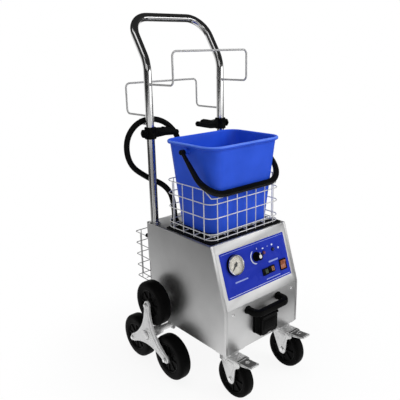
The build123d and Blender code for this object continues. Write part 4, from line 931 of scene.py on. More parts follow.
def sweep_flat(bm, points, normal, section):
    """Section of (across, out) points swept along a flat path, with closed ends."""
    normal = Vector(normal).normalized()
    rings = []
    for number, point in enumerate(points):
        ahead = points[min(number + 1, len(points) - 1)]
        behind = points[max(number - 1, 0)]
        across = normal.cross(ahead - behind).normalized()
        outline = section(number / (len(points) - 1))
        rings.append([point + a * across + b * normal for a, b in outline])
    first, last = ([sum(ring, Vector()) / len(ring)] for ring in (rings[0], rings[-1]))
    skin(bm, [first, *rings, last])


def spread_out(points, pitch):
    """More points on the long runs of a path, so that a changing section follows smoothly."""
    path = [points[0]]
    for start, end in zip(points, points[1:]):
        count = max(1, round((end - start).length / pitch))
        path += [start.lerp(end, (step + 1) / count) for step in range(count)]
    return path


def front_socket():
    """Moulded steam socket with its brass seat and hinge ears, and the ribbed flap."""
    face = frame_at((SOCKET_X, FRONT, SOCKET_Z), AHEAD)
    bm = bmesh.new()
    cut_plate(bm, face, [box_outline(72, 63, 5), ring_outline(11, 40, (0, -3.5))], 0, 28, 1.4)
    slab(bm, face, box_outline(75, 66, 6.5), 0, 3, 0.8)
    bore = face @ Matrix.Translation((0, -3.5, 0))
    turned_form(bm, bore, [(0, 1), (10.9, 1), (10.9, 27.2), (9.6, 27.2), (9.4, 3), (0, 3)], 40, 1)
    hinge = frame_at((SOCKET_X - 34, HINGE_Y, HINGE_Z), RIGHT)
    ear = rounded([(-5, -5), (9.5, -5), (9.5, 5), (-5, 5)], [4.8, 0, 0, 4.8], 8)
    for start in (0, 60):
        slab(bm, hinge, ear, start, start + 8)
    round_pin(bm, hinge, 2, 0.5, 67.5, 16, 2)
    finishes = [black_plastic, brass, screw_steel]
    piece("steam_socket_body", bm, finishes, "steam_socket")

    bm = bmesh.new()
    door = frame_at((SOCKET_X, FRONT - 28.3, 0), AHEAD)
    corners = [(-34, 182), (-9, 182), (-6, 186), (6, 186), (9, 182), (34, 182), (34, 235.5), (-34, 235.5)]
    slab(bm, door, rounded(corners, [6, 2, 2, 2, 2, 6, 2, 2]), 0, 4.7, 1.2, 3)
    slab(bm, door, box_outline(52, 34, 5, (0, 211)), 4.4, 6.0, 0.8)
    slab(bm, door, box_outline(51.4, 12, 1, (0, 238)), 2.2, 6.2)
    knuckle = frame_at((SOCKET_X - 25.7, HINGE_Y, HINGE_Z), RIGHT)
    turned_form(bm, knuckle, [(0, 0), (4, 0), (4.5, 0.5), (4.5, 50.9), (4, 51.4), (0, 51.4)], 28)
    piece("socket_flap_door", bm, [black_plastic], "socket_flap", "socket_flap")

    ribs = row(black_plastic, 5, (SOCKET_X - 18, FRONT - 34.2, 200), (0, 0, 5.5), (36, 0, 0), 0.7, 8)
    grown("socket_flap_ribs", "black_plastic", ribs, body="socket_flap")


def front_handle():
    """Flat-sided lifting handle over the socket, on two round feet."""
    bm = bmesh.new()
    left, right = ([(x, FRONT - reach, GRIP_Z) for reach in (1, GRIP_REACH)] for x in GRIP_ENDS)
    section = box_outline(18.8, 17.6, 3.6, steps=4)
    sweep_flat(bm, bent_path(left + right[::-1], 20, 10), UP, lambda share: section)
    for x in GRIP_ENDS:
        foot = frame_at((x, FRONT, GRIP_Z), AHEAD)
        turned_form(bm, foot, [(0, 0), (13, 0), (13, 2.4), (12.2, 3.6), (9.4, 5.2), (0, 5.2)], 36)
    face_outwards(bm)
    piece("front_lifting_handle", bm, [black_plastic], "front_handle")


front_socket()
front_handle()


# Push handle, racks and tool clips

TUBE_RADIUS = 12.5
HANDLE_FOOT_Z = 361
HANDLE_BEND_Z = 966
HANDLE_TOP_Z = 1100
HANDLE_REACH = 87
FRONT_RACK_Z = 905
REAR_RACK_Z = 811
RACK_REACH = 122
RACK_RISE = 93
HOOK_Z = 784.8
CLIP_Z = 760


def over_both_poles(side):
    """Points from the left pole over to the right one, from (y, z) points off a pole."""
    left, right = ([(sign * POLE_X, POLE_Y + y, z) for y, z in side] for _, sign in SIDES)
    return left + right[::-1]


def push_handle():
    """Chrome handle tube and the wire racks welded to its poles."""
    side = [(0, HANDLE_FOOT_Z), (0, HANDLE_BEND_Z), (HANDLE_REACH, HANDLE_TOP_Z)]
    tube = run_lines([(over_both_poles(side), [0, 90, 68, 68, 90, 0], False)])
    layer = wires(chrome, TUBE_RADIUS, 40, 14)
    grown("chrome_handle_tube", "chrome_tube", layer, source=tube, node="handle_frame")

    runs = []
    for z, reach in ((FRONT_RACK_Z, -RACK_REACH), (REAR_RACK_Z, RACK_REACH)):
        side = [(0, z), (reach, z), (reach, z + RACK_RISE)]
        runs.append((over_both_poles(side), [0, 14, 14, 14, 14, 0], False))
    hook = [(-POLE_X, POLE_Y + y, HOOK_Z + rise) for y, rise in ((0, 0), (52.5, 0), (52.5, 14))]
    runs.append((hook, [0, 8, 0], False))
    layer = wires(rack_wire, 3, 16, 7)
    grown("pole_wire_racks", "bright_wire", layer, source=run_lines(runs), node="wire_racks")

    bm = bmesh.new()
    bead = [(0, 11.5), (5.2, 11.9), (4.6, 13.4), (3.4, 14.6), (2.9, 16), (0, 16)]
    joints = ((FRONT_RACK_Z, AHEAD, (-1, 1)), (REAR_RACK_Z, BACK, (-1, 1)), (HOOK_Z, BACK, (-1,)))
    for z, way, signs in joints:
        for sign in signs:
            turned_form(bm, frame_at((sign * POLE_X, POLE_Y, z), way), bead, 20)
    piece("rack_weld_beads", bm, [rack_wire])


def tool_clip(side, sign):
    """Clamp collar with a ribbed arm and its hooked jaw."""
    bm = bmesh.new()
    middle = (sign * POLE_X, POLE_Y, CLIP_Z)
    ring = [(12.7, -18), (16.6, -18), (18, -16.6), (18, -6), (17.4, -5), (17.4, 5), (18, 6), (18, 16.6)]
    ring += [(16.6, 18), (12.7, 18), (12.7, -18)]
    turned_form(bm, frame_at(middle, UP), ring, 44)
    arm = frame_at(middle, (0, sign, 0))
    drop = 8 * sign
    body = [(14, -15), (52, -12.5), (105, drop - 8), (105, drop + 8), (60, 11), (14, 15)]
    slab(bm, arm, rounded(body, [2, 20, 6, 6, 20, 2], 6), -7.5, 7.5, 2.4, 3)
    jaw = [(40, 6), (84, drop * 0.8 + 5), (86, drop * 0.8 + 11), (70, drop * 0.6 + 15.5), (46, 15)]
    slab(bm, arm, rounded(jaw, [2, 2, 3, 8, 4], 5), -6, 6, 1.8, 3)
    rib = rounded([(24, -6), (92, drop - 3), (92, drop + 2), (24, 6)], 2)
    slab_pair(bm, arm, rib, 7.2, 8.1, 0.4)
    lug = on_side(sign, POLE_X + 12, POLE_Y, CLIP_Z)
    slab(bm, lug, box_outline(17, 24, 4), 0, 8, 1.2)
    face_outwards(bm)
    name = f"{side}_tool_clip"
    piece(f"{side}_clip_body", bm, [black_plastic], name, name)


def clamp_knob(side, sign):
    """Lobed knob on its screw."""
    bm = bmesh.new()
    knob = on_side(sign, POLE_X + 20, POLE_Y, CLIP_Z)
    slab(bm, knob, lobed_outline(11.9, 1.7, 6, 72), 0, 7.8, 1.8, 3)
    turned_form(bm, knob, [(0, 7.3), (7.5, 7.3), (7.2, 8.4), (5.5, 9), (0, 9)], 28)
    round_pin(bm, knob, 3, -5.7, 0.5, 16, 1)
    name = f"{side}_clip_knob"
    piece(f"{side}_clamp_knob", bm, [black_plastic, screw_steel], name, name)


push_handle()
for side, sign in SIDES:
    tool_clip(side, sign)
    clamp_knob(side, sign)


# Deck mat, baskets and bucket


def deck_mat():
    """Ribbed rubber mat under the basket."""
    bm = bmesh.new()
    slab(bm, frame_at((0, -22.5, DECK), UP), box_outline(304, 212, 10), 0, 2.4)
    piece("deck_rubber_mat", bm, [mat_black], "deck_mat")
    ribs = row(mat_black, 26, (-148, -122.5, DECK + 1.9), (0, 8, 0), (296, 0, 0), 1.2, 8)
    grown("deck_mat_ribs", "black_rubber", ribs)


def bucket_basket():
    """Welded wire basket with its front dipped for the bail."""
    front, rear, half = FRONT + 70, FRONT + 273, 146
    runs = []
    for z in (DECK + 9, DECK + 26, DECK + 73, DECK + 115):
        runs.append(([(-half, front, z), (half, front, z), (half, rear, z), (-half, rear, z)], 25, True))
    low, high = DECK + 131, DECK + 155
    dip = [(121, front, low), (135, front + 8, low), (half, front + 24, high), (half, rear, high)]
    rim = dip + [(-x, y, z) for x, y, z in dip[::-1]]
    runs.append((rim, [6, 4, 6, 25, 25, 6, 4, 6], True))
    foot = DECK + 3
    layers = [
        wires(basket_wire),
        row(basket_wire, 7, (-117, front + 2.6, foot), (39, 0, 0), (0, 0, 128)),
        row(basket_wire, 7, (-117, rear - 2.6, foot), (39, 0, 0), (0, 0, 152)),
        row(basket_wire, 4, (-143.4, -91.5, foot), (0, 47, 0), (0, 0, 152)),
        row(basket_wire, 4, (143.4, -91.5, foot), (0, 47, 0), (0, 0, 152)),
        row(basket_wire, 4, (-144, -97.5, DECK + 9), (0, 51, 0), (288, 0, 0)),
        row(basket_wire, 7, (-121, -114.5, DECK + 11.6), (40.33, 0, 0), (0, 187, 0)),
    ]
    grown("bucket_wire_basket", "bright_wire", *layers, source=run_lines(runs), node="wire_basket")


def accessory_basket():
    """Wire basket on the rear panel."""
    back, half, low = REAR + 91, 147, 250
    runs = []
    for z in (low + 40.5 * level for level in range(5)):
        hoop = [(-half, REAR, z), (-half, back, z), (half, back, z), (half, REAR, z)]
        runs.append((hoop, [0, 8, 8, 0], False))
    layers = [
        wires(bright_wire),
        row(bright_wire, 6, (-125, back - 2.6, low), (50, 0, 0), (0, 0, 162)),
        row(bright_wire, 2, (-144.4, 187.75, low), (0, 50, 0), (0, 0, 162)),
        row(bright_wire, 2, (144.4, 187.75, low), (0, 50, 0), (0, 0, 162)),
        row(bright_wire, 6, (-125, LOWER_REAR + 0.3, low), (50, 0, 0), (0, back - LOWER_REAR - 1, 0)),
        row(bright_wire, 1, (-141, 219, low + 2.6), (0, 0, 0), (282, 0, 0)),
    ]
    grown("rear_wire_basket", "bright_wire", *layers, source=run_lines(runs), node="rear_basket")


BUCKET_MIDDLE = -21.0
BUCKET_BASE = 484.4
BUCKET_FLOOR = 487.4
BUCKET_HEIGHT = 263
LIP_Z = 743
BAIL_X = 158.5
PIVOT_Z = 724.4

# Half length, half width and corner radius of the bucket's foot, and what its rim adds to them
BUCKET_FOOT = (118, 82, 34)
BUCKET_FLARE = (22, 25, 6)


def bucket_ring(height, grow):
    """Rounded rectangle of the bucket's wall at a height, grown outwards."""
    share = (height - BUCKET_BASE) / BUCKET_HEIGHT
    sizes = zip(BUCKET_FOOT, BUCKET_FLARE)
    x, y, corner = (max(foot + flare * share + grow, 4) for foot, flare in sizes)
    points = []
    for a, b, start in ((1, -1, -90), (1, 1, 0), (-1, 1, 90), (-1, -1, 180)):
        centre = Vector((a * (x - corner), BUCKET_MIDDLE + b * (y - corner), height))
        turns = [math.radians(start + 9 * step) for step in range(11)]
        arc = [centre + corner * Vector((math.cos(turn), math.sin(turn), 0)) for turn in turns]
        first, last = (4.0 * Vector((-math.sin(turn), math.cos(turn), 0)) for turn in (turns[0], turns[-1]))
        points += [arc[0] - first, *arc, arc[-1] + last]
    return points


def bucket():
    """Tapered moulded bucket with a rolled rim and pivot bosses."""
    bm = bmesh.new()
    outside = [(BUCKET_BASE, -16), (BUCKET_BASE, -7), (485.2, -3.6), (487, -1.2), (490, -0.2), (493, 0)]
    outside += [(600, 0), (700, 0), (731, 0), (734.5, 0.1), (736.4, 0.4)]
    roll = [(737.4, 2.0), (737.8, 5.6), (738.6, 7.2), (740, 7.9), (LIP_Z, 8.0), (745.6, 7.2), (747.0, 5.4)]
    roll += [(747.4, 3.0), (747.3, 0.4), (746.4, -1.4), (744.6, -2.3), (741, -2.5)]
    inside = [(720, -2.5), (600, -2.5), (494, -2.5), (490, -3.6), (488.2, -6.5)]
    inside += [(BUCKET_FLOOR, -12), (BUCKET_FLOOR, -20)]
    wall = outside + roll + inside
    # Faces on top of the rolled rim, above the lip, take the lighter blue: a painted highlight.
    pale = []
    for (start, near), (end, far) in zip(wall, wall[1:]):
        pale.append(int(min(start, end) >= LIP_Z and min(near, far) > 2))
    under, floor = ([Vector((0, BUCKET_MIDDLE, z))] for z in (BUCKET_BASE, BUCKET_FLOOR))
    rings = [bucket_ring(height, grow) for height, grow in wall]
    skin(bm, [under, *rings, floor], [0, *pale, 0])
    boss = [(0, 0), (11, 0), (10, 4), (9, 6), (9, 14.2), (8.4, 14.9), (0, 14.9)]
    cap = [(0, 14), (4.9, 14), (4.9, 31), (5.6, 31.2), (5.6, 31.7), (4, 32.1), (0, 32.1)]
    for _, sign in SIDES:
        pivot = on_side(sign, 135, BUCKET_MIDDLE, PIVOT_Z)
        turned_form(bm, pivot, boss, 32)
        turned_form(bm, pivot, cap, 28, 2)
    finishes = [bucket_blue, bucket_rim_painted_highlight, gloss_black]
    piece("bucket_shell", bm, finishes, "bucket", "bucket")


def bucket_bail():
    """Strap bail lying forward on the basket's front rim, thicker at the grip."""
    seat = Vector((0, FRONT + 67.5 - BUCKET_MIDDLE, 611.3 - PIVOT_Z))
    left, right = (Vector((sign * BAIL_X, BUCKET_MIDDLE, PIVOT_Z)) for _, sign in SIDES)
    path = spread_out(bent_path([left, left + seat, right + seat, right], 70, 16), 8)

    def section(share):
        swell = min(1.0, math.sin(math.pi * share) * 1.5) ** 0.8
        wide = 4.4 + 5.2 * swell
        deep = 4.4 + 2.1 * swell
        return box_outline(2 * wide, 2 * deep, deep * 0.72)

    bm = bmesh.new()
    sweep_flat(bm, path, seat.cross(Vector(RIGHT)), section)
    hoop = [(5.2, -7), (6.6, -7), (7.4, -6), (7.4, 6), (6.6, 7), (5.2, 7), (5.2, -7)]
    for _, sign in SIDES:
        turned_form(bm, on_side(sign, BAIL_X, BUCKET_MIDDLE, PIVOT_Z), hoop, 36)
    face_outwards(bm)
    piece("bucket_strap_bail", bm, [gloss_black], "bucket_bail", "bucket_bail")


deck_mat()
bucket_basket()
accessory_basket()
bucket()
bucket_bail()


# Casters

CASTER_X = 116
CASTER_Y = FRONT + 26
CASTER_AXLE_Y = FRONT + 2
CASTER_AXLE_Z = 62.5
CASTER_WHEEL = {"radius": 62.5, "half": 18, "core": 46, "hub": 5.3}
CROWN_Z = 132.8
FORK_IN = 20
FORK_OUT = 22.9
PEDAL_TILT = 6


def rolling_wheel(name, node, centre, radius, half, core, hub):
    """Rubber tyre on a ribbed plastic core, with a groove between them."""
    place = frame_at(centre, RIGHT)
    tyre = radius - core
    side = [(hub, 1.5), (hub + 8, 1.5), (hub + 9.5, 2.4), (hub + 10.5, 6), (core - 5, 6), (core - 3.5, 2.6)]
    side += [(core - 1, 1.4), (core, 1.0), (core + 0.6, 1.8), (core + 1.4, 1.8), (core + 2, 0.8)]
    side += [(core + 0.35 * tyre, 0.2), (core + 0.55 * tyre, 0.3), (radius - 6.0, 1.4)]
    side += [(radius - 3.4, 3.2), (radius - 1.5, 5.6), (radius - 0.5, 8.2), (radius - 0.1, 11)]
    low = [(r, depth - half) for r, depth in side]
    high = [(r, half - depth) for r, depth in reversed(side)]
    rings = low + [(radius, 0)] + high
    finishes = [int(max(a[0], b[0]) > core + 0.01) for a, b in zip(rings, rings[1:])]
    bm = bmesh.new()
    turned_form(bm, place, rings + rings[:1], 72, finishes + [0])
    piece(name, bm, [core_black, wheel_black], node, node, 38)

    bm = bmesh.new()
    start, end = hub + 9, core - 4
    rib = box_outline(end - start, 4, 1, ((start + end) / 2, 0), 3)
    slab_pair(bm, Matrix(), rib, half - 8, half - 3)
    grown(f"{name}_ribs", "wheel_black", round_copies(core_black, bm, 8), body=node, place=place)


def caster_plates():
    """Top plates with races, king pins and nuts under the casing, and their bolts."""
    bm = bmesh.new()
    bolts = []
    race = [(0, 3), (24, 3), (26, 4.4), (26, 7.2), (25.2, 8.4), (18, 8.7), (0, 8.7)]
    for _, sign in SIDES:
        top = frame_at((sign * CASTER_X, CASTER_Y, BASE), DOWN)
        slab(bm, top, box_outline(80, 50, 6), 0, 3.5, 0.8)
        turned_form(bm, top, race, 44)
        round_pin(bm, top, 5.9, 8, 20, 20)
        slab(bm, top, hexagon(9), 18.6, 21.9, 0.7)
        corners = [(a, b) for a in (-31, 31) for b in (-17, 17)]
        bolts += [((sign * CASTER_X + a, CASTER_Y + b, BASE - 3.4), DOWN) for a, b in corners]
    piece("caster_top_plates", bm, [zinc], "caster_plates")
    bm = bmesh.new()
    slab(bm, Matrix(), hexagon(6), 0, 3.8)
    round_pin(bm, Matrix(), 7.4, -0.2, 0.8)
    layer = standing_copies(screw_steel, bm)
    grown("caster_plate_bolts", "screw_steel", layer, source=points_with_directions(bolts))


def caster_fork(side, x):
    """Pressed fork with its upper race and axle bolt."""
    bm = bmesh.new()
    rear, nose = CASTER_Y + 21, CASTER_Y - 60
    y, z = CASTER_AXLE_Y, CASTER_AXLE_Z
    channel = [(-23, 112), (-20, 112), (-20, 129.6), (20, 129.6), (20, 112), (23, 112)]
    channel += [(23, CROWN_Z), (-23, CROWN_Z)]
    crown = frame_at((x, rear, 0), AHEAD)
    slab(bm, crown, rounded(channel, [0, 0, 3, 3, 0, 0, 6, 6]), 0, 66)
    upper = frame_at((x, CASTER_Y, CROWN_Z - 0.2), UP)
    turned_form(bm, upper, [(0, 0), (25, 0), (26, 1.2), (26, 4.2), (25, 5.4), (0, 5.4)], 44)
    leg = [(rear, 127), (nose, CROWN_Z), (nose, 116), (y - 19.6, 107.3)]
    leg += [(y - 14, z - 4), (y - 7, z - 14), (y + 7, z - 14), (y + 14, z - 2)]
    leg = rounded(leg, [5, 6, 5, 14, 12, 9, 9, 14], 6)
    pressed = [(CASTER_Y + 2, 122), (CASTER_Y - 40, 124), (y - 12, 106), (y - 5, 78), (y + 5, 78)]
    pressed = rounded(pressed, [8, 6, 8, 5, 5])
    plate = frame_at((x, 0, 0), RIGHT)
    slab_pair(bm, plate, leg, FORK_IN, FORK_OUT, 0.7)
    slab_pair(bm, plate, pressed, FORK_OUT - 1, FORK_OUT + 1.2, 1.0, 3)
    round_pin(bm, frame_at((x, y, z), RIGHT), 4.9, -23, 23, 24, 1)
    for way in (-1, 1):
        end = frame_at((x + way * FORK_OUT, y, z), (way, 0, 0))
        turned_form(bm, end, [(0, 0), (9.5, 0), (9.5, 0.9), (8.8, 1.3), (0, 1.3)], 28, 1)
        slab(bm, end, hexagon(7.6), 1.2, 4.4, 0.8, 2, 1)
    face_outwards(bm)
    piece(f"{side}_fork", bm, [zinc, screw_steel], f"{side}_caster_fork", f"{side}_caster")


def brake_pedal(side, x):
    """Folded brake pedal with a dark tread, a bolt and a rolled front edge."""
    tilt = math.radians(PEDAL_TILT)
    pivot = (x, CASTER_Y - 52, 125.8)
    place = frame_at(pivot, (0, math.sin(tilt), math.cos(tilt)), (0, -math.cos(tilt), math.sin(tilt)))
    bm = bmesh.new()
    plan = [(-19, -3), (19, -3), (19, 46), (16, 52), (-16, 52), (-19, 46)]
    slab(bm, place, rounded(plan, [2, 2, 6, 3, 3, 6]), 0.9, 3.6, 0.8)
    lip = rounded([(-4, -2.5), (18, -2.5), (46, 1.5), (46, 3), (-4, 3)], [2, 4, 1, 0, 0])
    slab_pair(bm, place @ frame_at((0, 0, 0), RIGHT), lip, 16.4, 19)
    slab(bm, place, box_outline(33, 42, 4, (0, 23.5)), 3.2, 4.4, index=1)
    spot = place @ Matrix.Translation((0, 21, 0))
    bolt = [(0, 4), (6.6, 4), (6.6, 5.2), (5.6, 5.4), (5.0, 7.4), (3.6, 8.6), (0, 9.0)]
    turned_form(bm, spot, bolt, 28, 2)
    roll = place @ frame_at((-15, 50.5, 4.2), RIGHT)
    turned_form(bm, roll, [(0, 0), (2.4, 0), (3.2, 0.8), (3.2, 29.2), (2.4, 30), (0, 30)], 24)
    hinge = place @ frame_at((-22.8, 0, 0), RIGHT)
    sleeve = [(0, 0), (2.5, 0), (2.5, 3.9), (5, 4), (5, 41.6), (2.5, 41.7), (2.5, 45.6), (0, 45.6)]
    turned_form(bm, hinge, sleeve, 24)
    face_outwards(bm)
    name = f"{side}_brake_pedal"
    piece(f"{side}_pedal_plate", bm, [zinc, pedal_dark, screw_steel], name, name)
    treads = row(pedal_dark, 5, (-13, 8.5, 4.5), (0, 6.25, 0), (26, 0, 0), 0.7, 8)
    grown(f"{side}_pedal_treads", "zinc", treads, body=name, place=place)


for side, sign in SIDES:
    x = sign * CASTER_X
    axle = (x, CASTER_AXLE_Y, CASTER_AXLE_Z)
    caster_fork(side, x)
    rolling_wheel(f"{side}_caster_tyre", f"{side}_caster_wheel", axle, **CASTER_WHEEL)
    brake_pedal(side, x)
caster_plates()


# Stair-climbing star wheels

STAR_X = 225
STAR_Y = FRONT + 288
STAR_Z = 124.5
STAR_ARM = 103
STAR_WHEEL_X = 202
STAR_WHEEL = {"radius": 73, "half": 20, "core": 47, "hub": 8.3}
STAR_PLACES = (("top", 90), ("front", 210), ("rear", 330))
BRACKET_X = 122


def arc_between(start, middle, end, steps):
    """Points of the arc through three points."""
    a, b = middle - start, end - start
    cross = 2 * (a.x * b.y - a.y * b.x)
    lift = Vector((b.y * a.dot(a) - a.y * b.dot(b), a.x * b.dot(b) - b.x * a.dot(a))) / cross
    centre = start + lift
    first, last, via = start - centre, end - centre, middle - centre
    turn = math.atan2(first.x * last.y - first.y * last.x, first.dot(last))
    half = math.atan2(first.x * via.y - first.y * via.x, first.dot(via))
    if turn * half < 0:
        turn += math.copysign(2 * math.pi, half)
    return [centre + Matrix.Rotation(turn * step / steps, 2) @ first for step in range(steps + 1)]


def spider_outline(tip, waist):
    """Three tapering arms with round tips and hollow flanks."""
    sixth, third = (Matrix.Rotation(math.radians(angle), 2) for angle in (60, 120))
    outline = []
    for index in range(3):
        turn = Matrix.Rotation(math.radians(120 * index), 2)
        right, left = turn @ Vector((tip, STAR_ARM)), turn @ Vector((-tip, STAR_ARM))
        outline += arc_between(right, turn @ Vector((0, STAR_ARM + tip)), left, 8)
        outline += arc_between(left, turn @ sixth @ Vector((0, waist)), third @ right, 16)[1:-1]
    return outline


def star(side, sign):
    """Cast spider with three wheels on their stub axles."""
    face = on_side(sign, STAR_X, STAR_Y, STAR_Z)
    bm = bmesh.new()
    slab(bm, face, spider_outline(13, 39), 0, 7, 2.2, 3)
    slab(bm, face, spider_outline(8, 28), 6.4, 9.6, 1.5, 3)
    hub = [(10.2, -34), (16, -34), (17, -33), (17, 0), (22, 3), (22, 10), (20.5, 12.5), (18.6, 13.8)]
    hub += [(16.5, 14), (15.5, 12), (14.6, 9.4), (10.2, 9.2), (10.2, -34)]
    turned_form(bm, face, hub, 48)
    stub = [(0, -46.2), (12, -46.2), (13, -45.2), (13, -43.5), (7.9, -43.4), (7.9, -2.8), (13, -2.7)]
    stub += [(13, 0.5), (0, 0.5)]
    for name, angle in STAR_PLACES:
        y = STAR_Y + STAR_ARM * math.cos(math.radians(angle))
        z = STAR_Z + STAR_ARM * math.sin(math.radians(angle))
        tip = on_side(sign, STAR_X, y, z)
        turned_form(bm, tip, [(0, 8), (9, 8), (9, 10.2), (8.2, 10.8), (0, 10.8)], 28, 1)
        slab(bm, tip, hexagon(6.8), 10.4, 14.2, 0.9, 2, 1)
        turned_form(bm, tip, stub, 32, 1)
        centre = (sign * STAR_WHEEL_X, y, z)
        rolling_wheel(f"{side}_{name}_star_tyre", f"{side}_{name}_star_wheel", centre, **STAR_WHEEL)
    face_outwards(bm)
    name = f"{side}_spider"
    piece(f"{side}_cast_spider", bm, [alloy, screw_steel], name, name)


def rear_axle():
    """Axle bar with its collars, and the brackets that carry it."""
    bm = bmesh.new()
    half = [(10, 0), (10, 178.7), (15.2, 178.8), (16, 179.6), (16, 189.8), (15.2, 190.6), (10, 190.7)]
    half += [(10, 238.9), (13.6, 239.3), (14, 240), (13.4, 241.4), (11, 242.6), (6, 243.2), (0, 243.3)]
    bar = [(r, -x) for r, x in reversed(half[1:])] + half
    turned_form(bm, frame_at((0, STAR_Y, STAR_Z), RIGHT), bar, 40)
    piece("rear_axle_bar", bm, [zinc], "rear_axle")

    bm = bmesh.new()
    ear = [(-26, 22.5), (-26, 12), (-15, -16), (15, -16), (26, 12), (26, 22.5)]
    ear = rounded(ear, [0, 6, 12, 12, 6, 0], 6)
    for _, sign in SIDES:
        place = frame_at((sign * BRACKET_X, STAR_Y, STAR_Z), RIGHT)
        slab_pair(bm, place, ear, 10, 14, 0.8)
        seat = frame_at((sign * BRACKET_X, STAR_Y, BASE), DOWN)
        slab(bm, seat, box_outline(28, 52, 2), 0, 4, 0.8)
    piece("axle_saddle_brackets", bm, [zinc], "axle_brackets")


for side, sign in SIDES:
    star(side, sign)
rear_axle()


# Finishes of the CAD parts that stay, under and inside the casing
for name, material in (
    ("base_tray", zinc),
    ("pole_sockets", black_plastic),
    ("boiler_tank", boiler_steel),
    ("steam_valve", boiler_steel),
    ("heating_element", brass),
    ("water_tank", tank_plastic),
    ("water_pump", core_black),
    ("circuit_board", board_green),
):
    for place in nodes[name].material_slots:
        place.material = material


# Camera, studio and floor, in metres

ROOM = 3.4
CEILING = 3.6
LEFT_WALL = -3.38


def studio_camera():
    """Camera at the photograph's standpoint, looking down over the cart's front left corner."""
    standpoint = (-1.0281, -1.1172, 0.9975)
    yaw, pitch, roll = 0.70441, 0.28768, -0.0231
    ahead = Vector((math.sin(yaw) * math.cos(pitch), math.cos(yaw) * math.cos(pitch), -math.sin(pitch)))
    across = Vector((math.cos(yaw), -math.sin(yaw), 0))
    above = across.cross(ahead)
    right = math.cos(roll) * across + math.sin(roll) * above
    up = math.cos(roll) * above - math.sin(roll) * across
    data = bpy.data.cameras.new("studio_camera")
    data.lens = 45.407
    data.sensor_width = 36
    data.sensor_fit = "HORIZONTAL"
    camera = put_in_scene("studio_camera", data)
    turn = Matrix((right, up, -ahead)).transposed().to_4x4()
    camera.matrix_world = Matrix.Translation(standpoint) @ turn
    bpy.context.scene.camera = camera


def softbox(name, place, target, size, power):
    """Large square soft lamp, not seen in reflections."""
    data = bpy.data.lights.new(name, "AREA")
    data.shape = "RECTANGLE"
    data.size = size
    data.size_y = size
    data.energy = power
    lamp = put_in_scene(name, data)
    lamp.location = place
    lamp.rotation_euler = (Vector(target) - Vector(place)).to_track_quat("-Z", "Y").to_euler()
    lamp.visible_glossy = False


def seen_rays(tree):
    """1 for rays that the camera, a gloss or a glass sends, else 0."""
    path = add_node(tree, "ShaderNodeLightPath").outputs
    total = path["Is Camera Ray"]
    for kind in ("Is Glossy Ray", "Is Transmission Ray"):
        both = add_node(tree, "ShaderNodeMath", {0: total, 1: path[kind]}, operation="MAXIMUM")
        total = both.outputs[0]
    return total


def white_world(level):
    """White to the camera and in reflections, a plain level of light otherwise."""
    world = bpy.data.worlds.new("studio_world")
    bpy.context.scene.world = world
    world.use_nodes = True
    tree = world.node_tree
    background = tree.nodes["Background"]
    background.inputs["Color"].default_value = (1, 1, 1, 1)
    levels = {"Value": seen_rays(tree), "To Min": level, "To Max": 1.0}
    strength = add_node(tree, "ShaderNodeMapRange", levels)
    tree.links.new(strength.outputs["Result"], background.inputs["Strength"])


def stage_sheet(name, corners):
    """Flat sheet of the studio, not part of the cart, and the empty tree of its material."""
    material = bpy.data.materials.new(name)
    material.use_nodes = True
    material.node_tree.nodes.clear()
    mesh = bpy.data.meshes.new(name)
    mesh.from_pydata(corners, [], [tuple(range(len(corners)))])
    mesh.materials.append(material)
    sheet = put_in_scene(name, mesh)
    return sheet, material.node_tree


def studio_floor():
    """Pale floor that keeps the cart's shadow and runs out into white."""
    _, tree = stage_sheet("studio_floor", lying(0, (-9, -9), (9, -9), (9, 9), (-9, 9)))
    spot = add_node(tree, "ShaderNodeTexCoord").outputs["Object"]
    reach = add_node(tree, "ShaderNodeVectorMath", {0: spot}, operation="LENGTH").outputs["Value"]
    limits = {"Value": reach, "From Min": 0.32, "From Max": 0.75, "To Min": 0.9}
    away = add_node(tree, "ShaderNodeMapRange", limits, interpolation_type="SMOOTHSTEP").outputs["Result"]
    share = add_node(tree, "ShaderNodeMath", {0: away, 1: seen_rays(tree)}, operation="MULTIPLY")
    matt = add_node(tree, "ShaderNodeBsdfDiffuse", {"Color": (0.93, 0.93, 0.93, 1)})
    white = add_node(tree, "ShaderNodeEmission")
    shaders = {"Fac": share.outputs[0], 1: matt.outputs[0], 2: white.outputs[0]}
    mix = add_node(tree, "ShaderNodeMixShader", shaders)
    add_node(tree, "ShaderNodeOutputMaterial", {"Surface": mix.outputs[0]})


def grey_card(name, level, corners):
    """Studio card that only reflections see."""
    card, tree = stage_sheet(name, corners)
    glow = add_node(tree, "ShaderNodeEmission", {"Color": (level, level, level, 1)})
    add_node(tree, "ShaderNodeOutputMaterial", {"Surface": glow.outputs[0]})
    card.visible_camera = False
    card.visible_diffuse = False
    card.visible_shadow = False
    card.visible_transmission = False


def lying(height, *corners):
    """Corners of a level card."""
    return [(x, y, height) for x, y in corners]


def standing(start, end, low, high):
    """Corners of an upright card between two floor points; one low edge, or one at each end."""
    near, far = each(low, 2)
    return [(*start, near), (*end, far), (*end, high), (*start, high)]


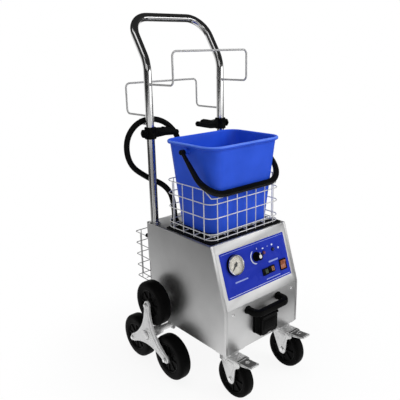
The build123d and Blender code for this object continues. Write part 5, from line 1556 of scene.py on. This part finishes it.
studio_camera()
white_world(0.45)
studio_floor()
softbox("key_softbox", (1.5, -2.3, 2.2), (0, 0, 0.5), 1.8, 55)
softbox("top_softbox", (-0.2, 0.1, 2.8), (0, 0, 0.3), 1.6, 22)
for name, level, corners in (
    ("left_floor_card", 0.56, lying(0.004, (-0.85, -0.06), (-0.4, 0.02), (-0.4, 1.7), (-0.85, 1.7))),
    ("wide_left_floor_card", 0.31, lying(0.004, (-1.6, -0.2), (-0.85, -0.06), (-0.85, 1.7), (-1.6, 1.7))),
    ("far_left_floor_card", 0.10, lying(0.003, (-5, -0.6), (-0.9, -0.1), (-0.4, 5), (-5, 5))),
    ("front_floor_card", 0.86, lying(0.004, (0.0, -0.45), (-0.3, -1.6), (0.54, -1.6), (0.31, -0.36))),
    ("front_right_floor_card", 0.10, lying(0.004, (0.31, -0.36), (0.54, -1.6), (1.2, -1.6), (0.8, -0.3))),
    (
        "right_floor_card",
        0.05,
        lying(0.005, (0.35, -0.2), (0.8, -0.3), (1.6, -1.4), (4.5, -3), (4.5, 3), (0.35, 3)),
    ),
    ("far_floor_card", 0.06, lying(0.003, (-1, -1.7), (-1, -5), (6, -5), (6, -2.5), (1.6, -1.4))),
    ("near_floor_card", 0.40, lying(0.002, (-0.8, -0.6), (-4, -0.5), (-4, -4), (-0.8, -4))),
    ("left_tall_card", 0.06, standing((-2.4, 0.5), (-1.6, 1.8), 0, 2.2)),
    ("right_tall_card", 0.05, standing((1.5, -0.85), (2.2, 0.5), 0, 2.2)),
    ("ceiling_card", 0.03, lying(CEILING, (-ROOM, -ROOM), (ROOM, -ROOM), (ROOM, ROOM), (-ROOM, ROOM))),
    ("high_rear_card", 0.03, standing((-ROOM, ROOM), (ROOM, ROOM), 1.5, CEILING)),
    ("high_right_card", 0.03, standing((ROOM, -ROOM), (ROOM, ROOM), (1.6, 1.5), CEILING)),
    ("high_left_strip", 1.2, lying(3.4, (-2.91, -0.94), (-1.67, -2.35), (-1.22, -0.69), (-2.46, 0.72))),
    ("high_corner_strip", 1.0, lying(3.39, (-2.75, 0.0), (-1.9, -0.2), (-1.9, 1.3), (-2.9, 1.5))),
    (
        "left_wall_strip",
        1.0,
        [(LEFT_WALL, y, z) for y, z in ((-1.9, 1.35), (-0.9, 1.35), (-0.8, 3.38), (-1.9, 3.38))],
    ),
    ("near_high_strip", 1.2, standing((-2.9, -2.6), (-1.7, -3.3), 1.2, 2.5)),
    ("high_left_card", 0.03, standing((-ROOM, -ROOM), (-ROOM, ROOM), 0.5, CEILING)),
    ("near_front_card", 0.03, standing((-ROOM, -ROOM), (0.2, -ROOM), (0.5, 0.9), CEILING)),
    ("low_front_card", 2.8, standing((0.4, -3.3), (2.2, -3.3), 0.45, 1.15)),
    ("low_corner_card", 3.4, standing((2.2, -3.3), (3.35, -3.3), 0.6, 1.3)),
    ("low_right_card", 3.4, standing((3.38, -3.3), (3.38, -1.8), 0.6, 1.3)),
    ("low_skirt_card", 0.7, standing((0.4, -3.3), (3.35, -3.3), 0.05, 0.45)),
    ("high_front_card", 0.03, standing((0.2, -ROOM), (ROOM, -ROOM), 1.05, CEILING)),
):
    grey_card(name, level, corners)
bpy.context.scene.view_settings.view_transform = "Standard"
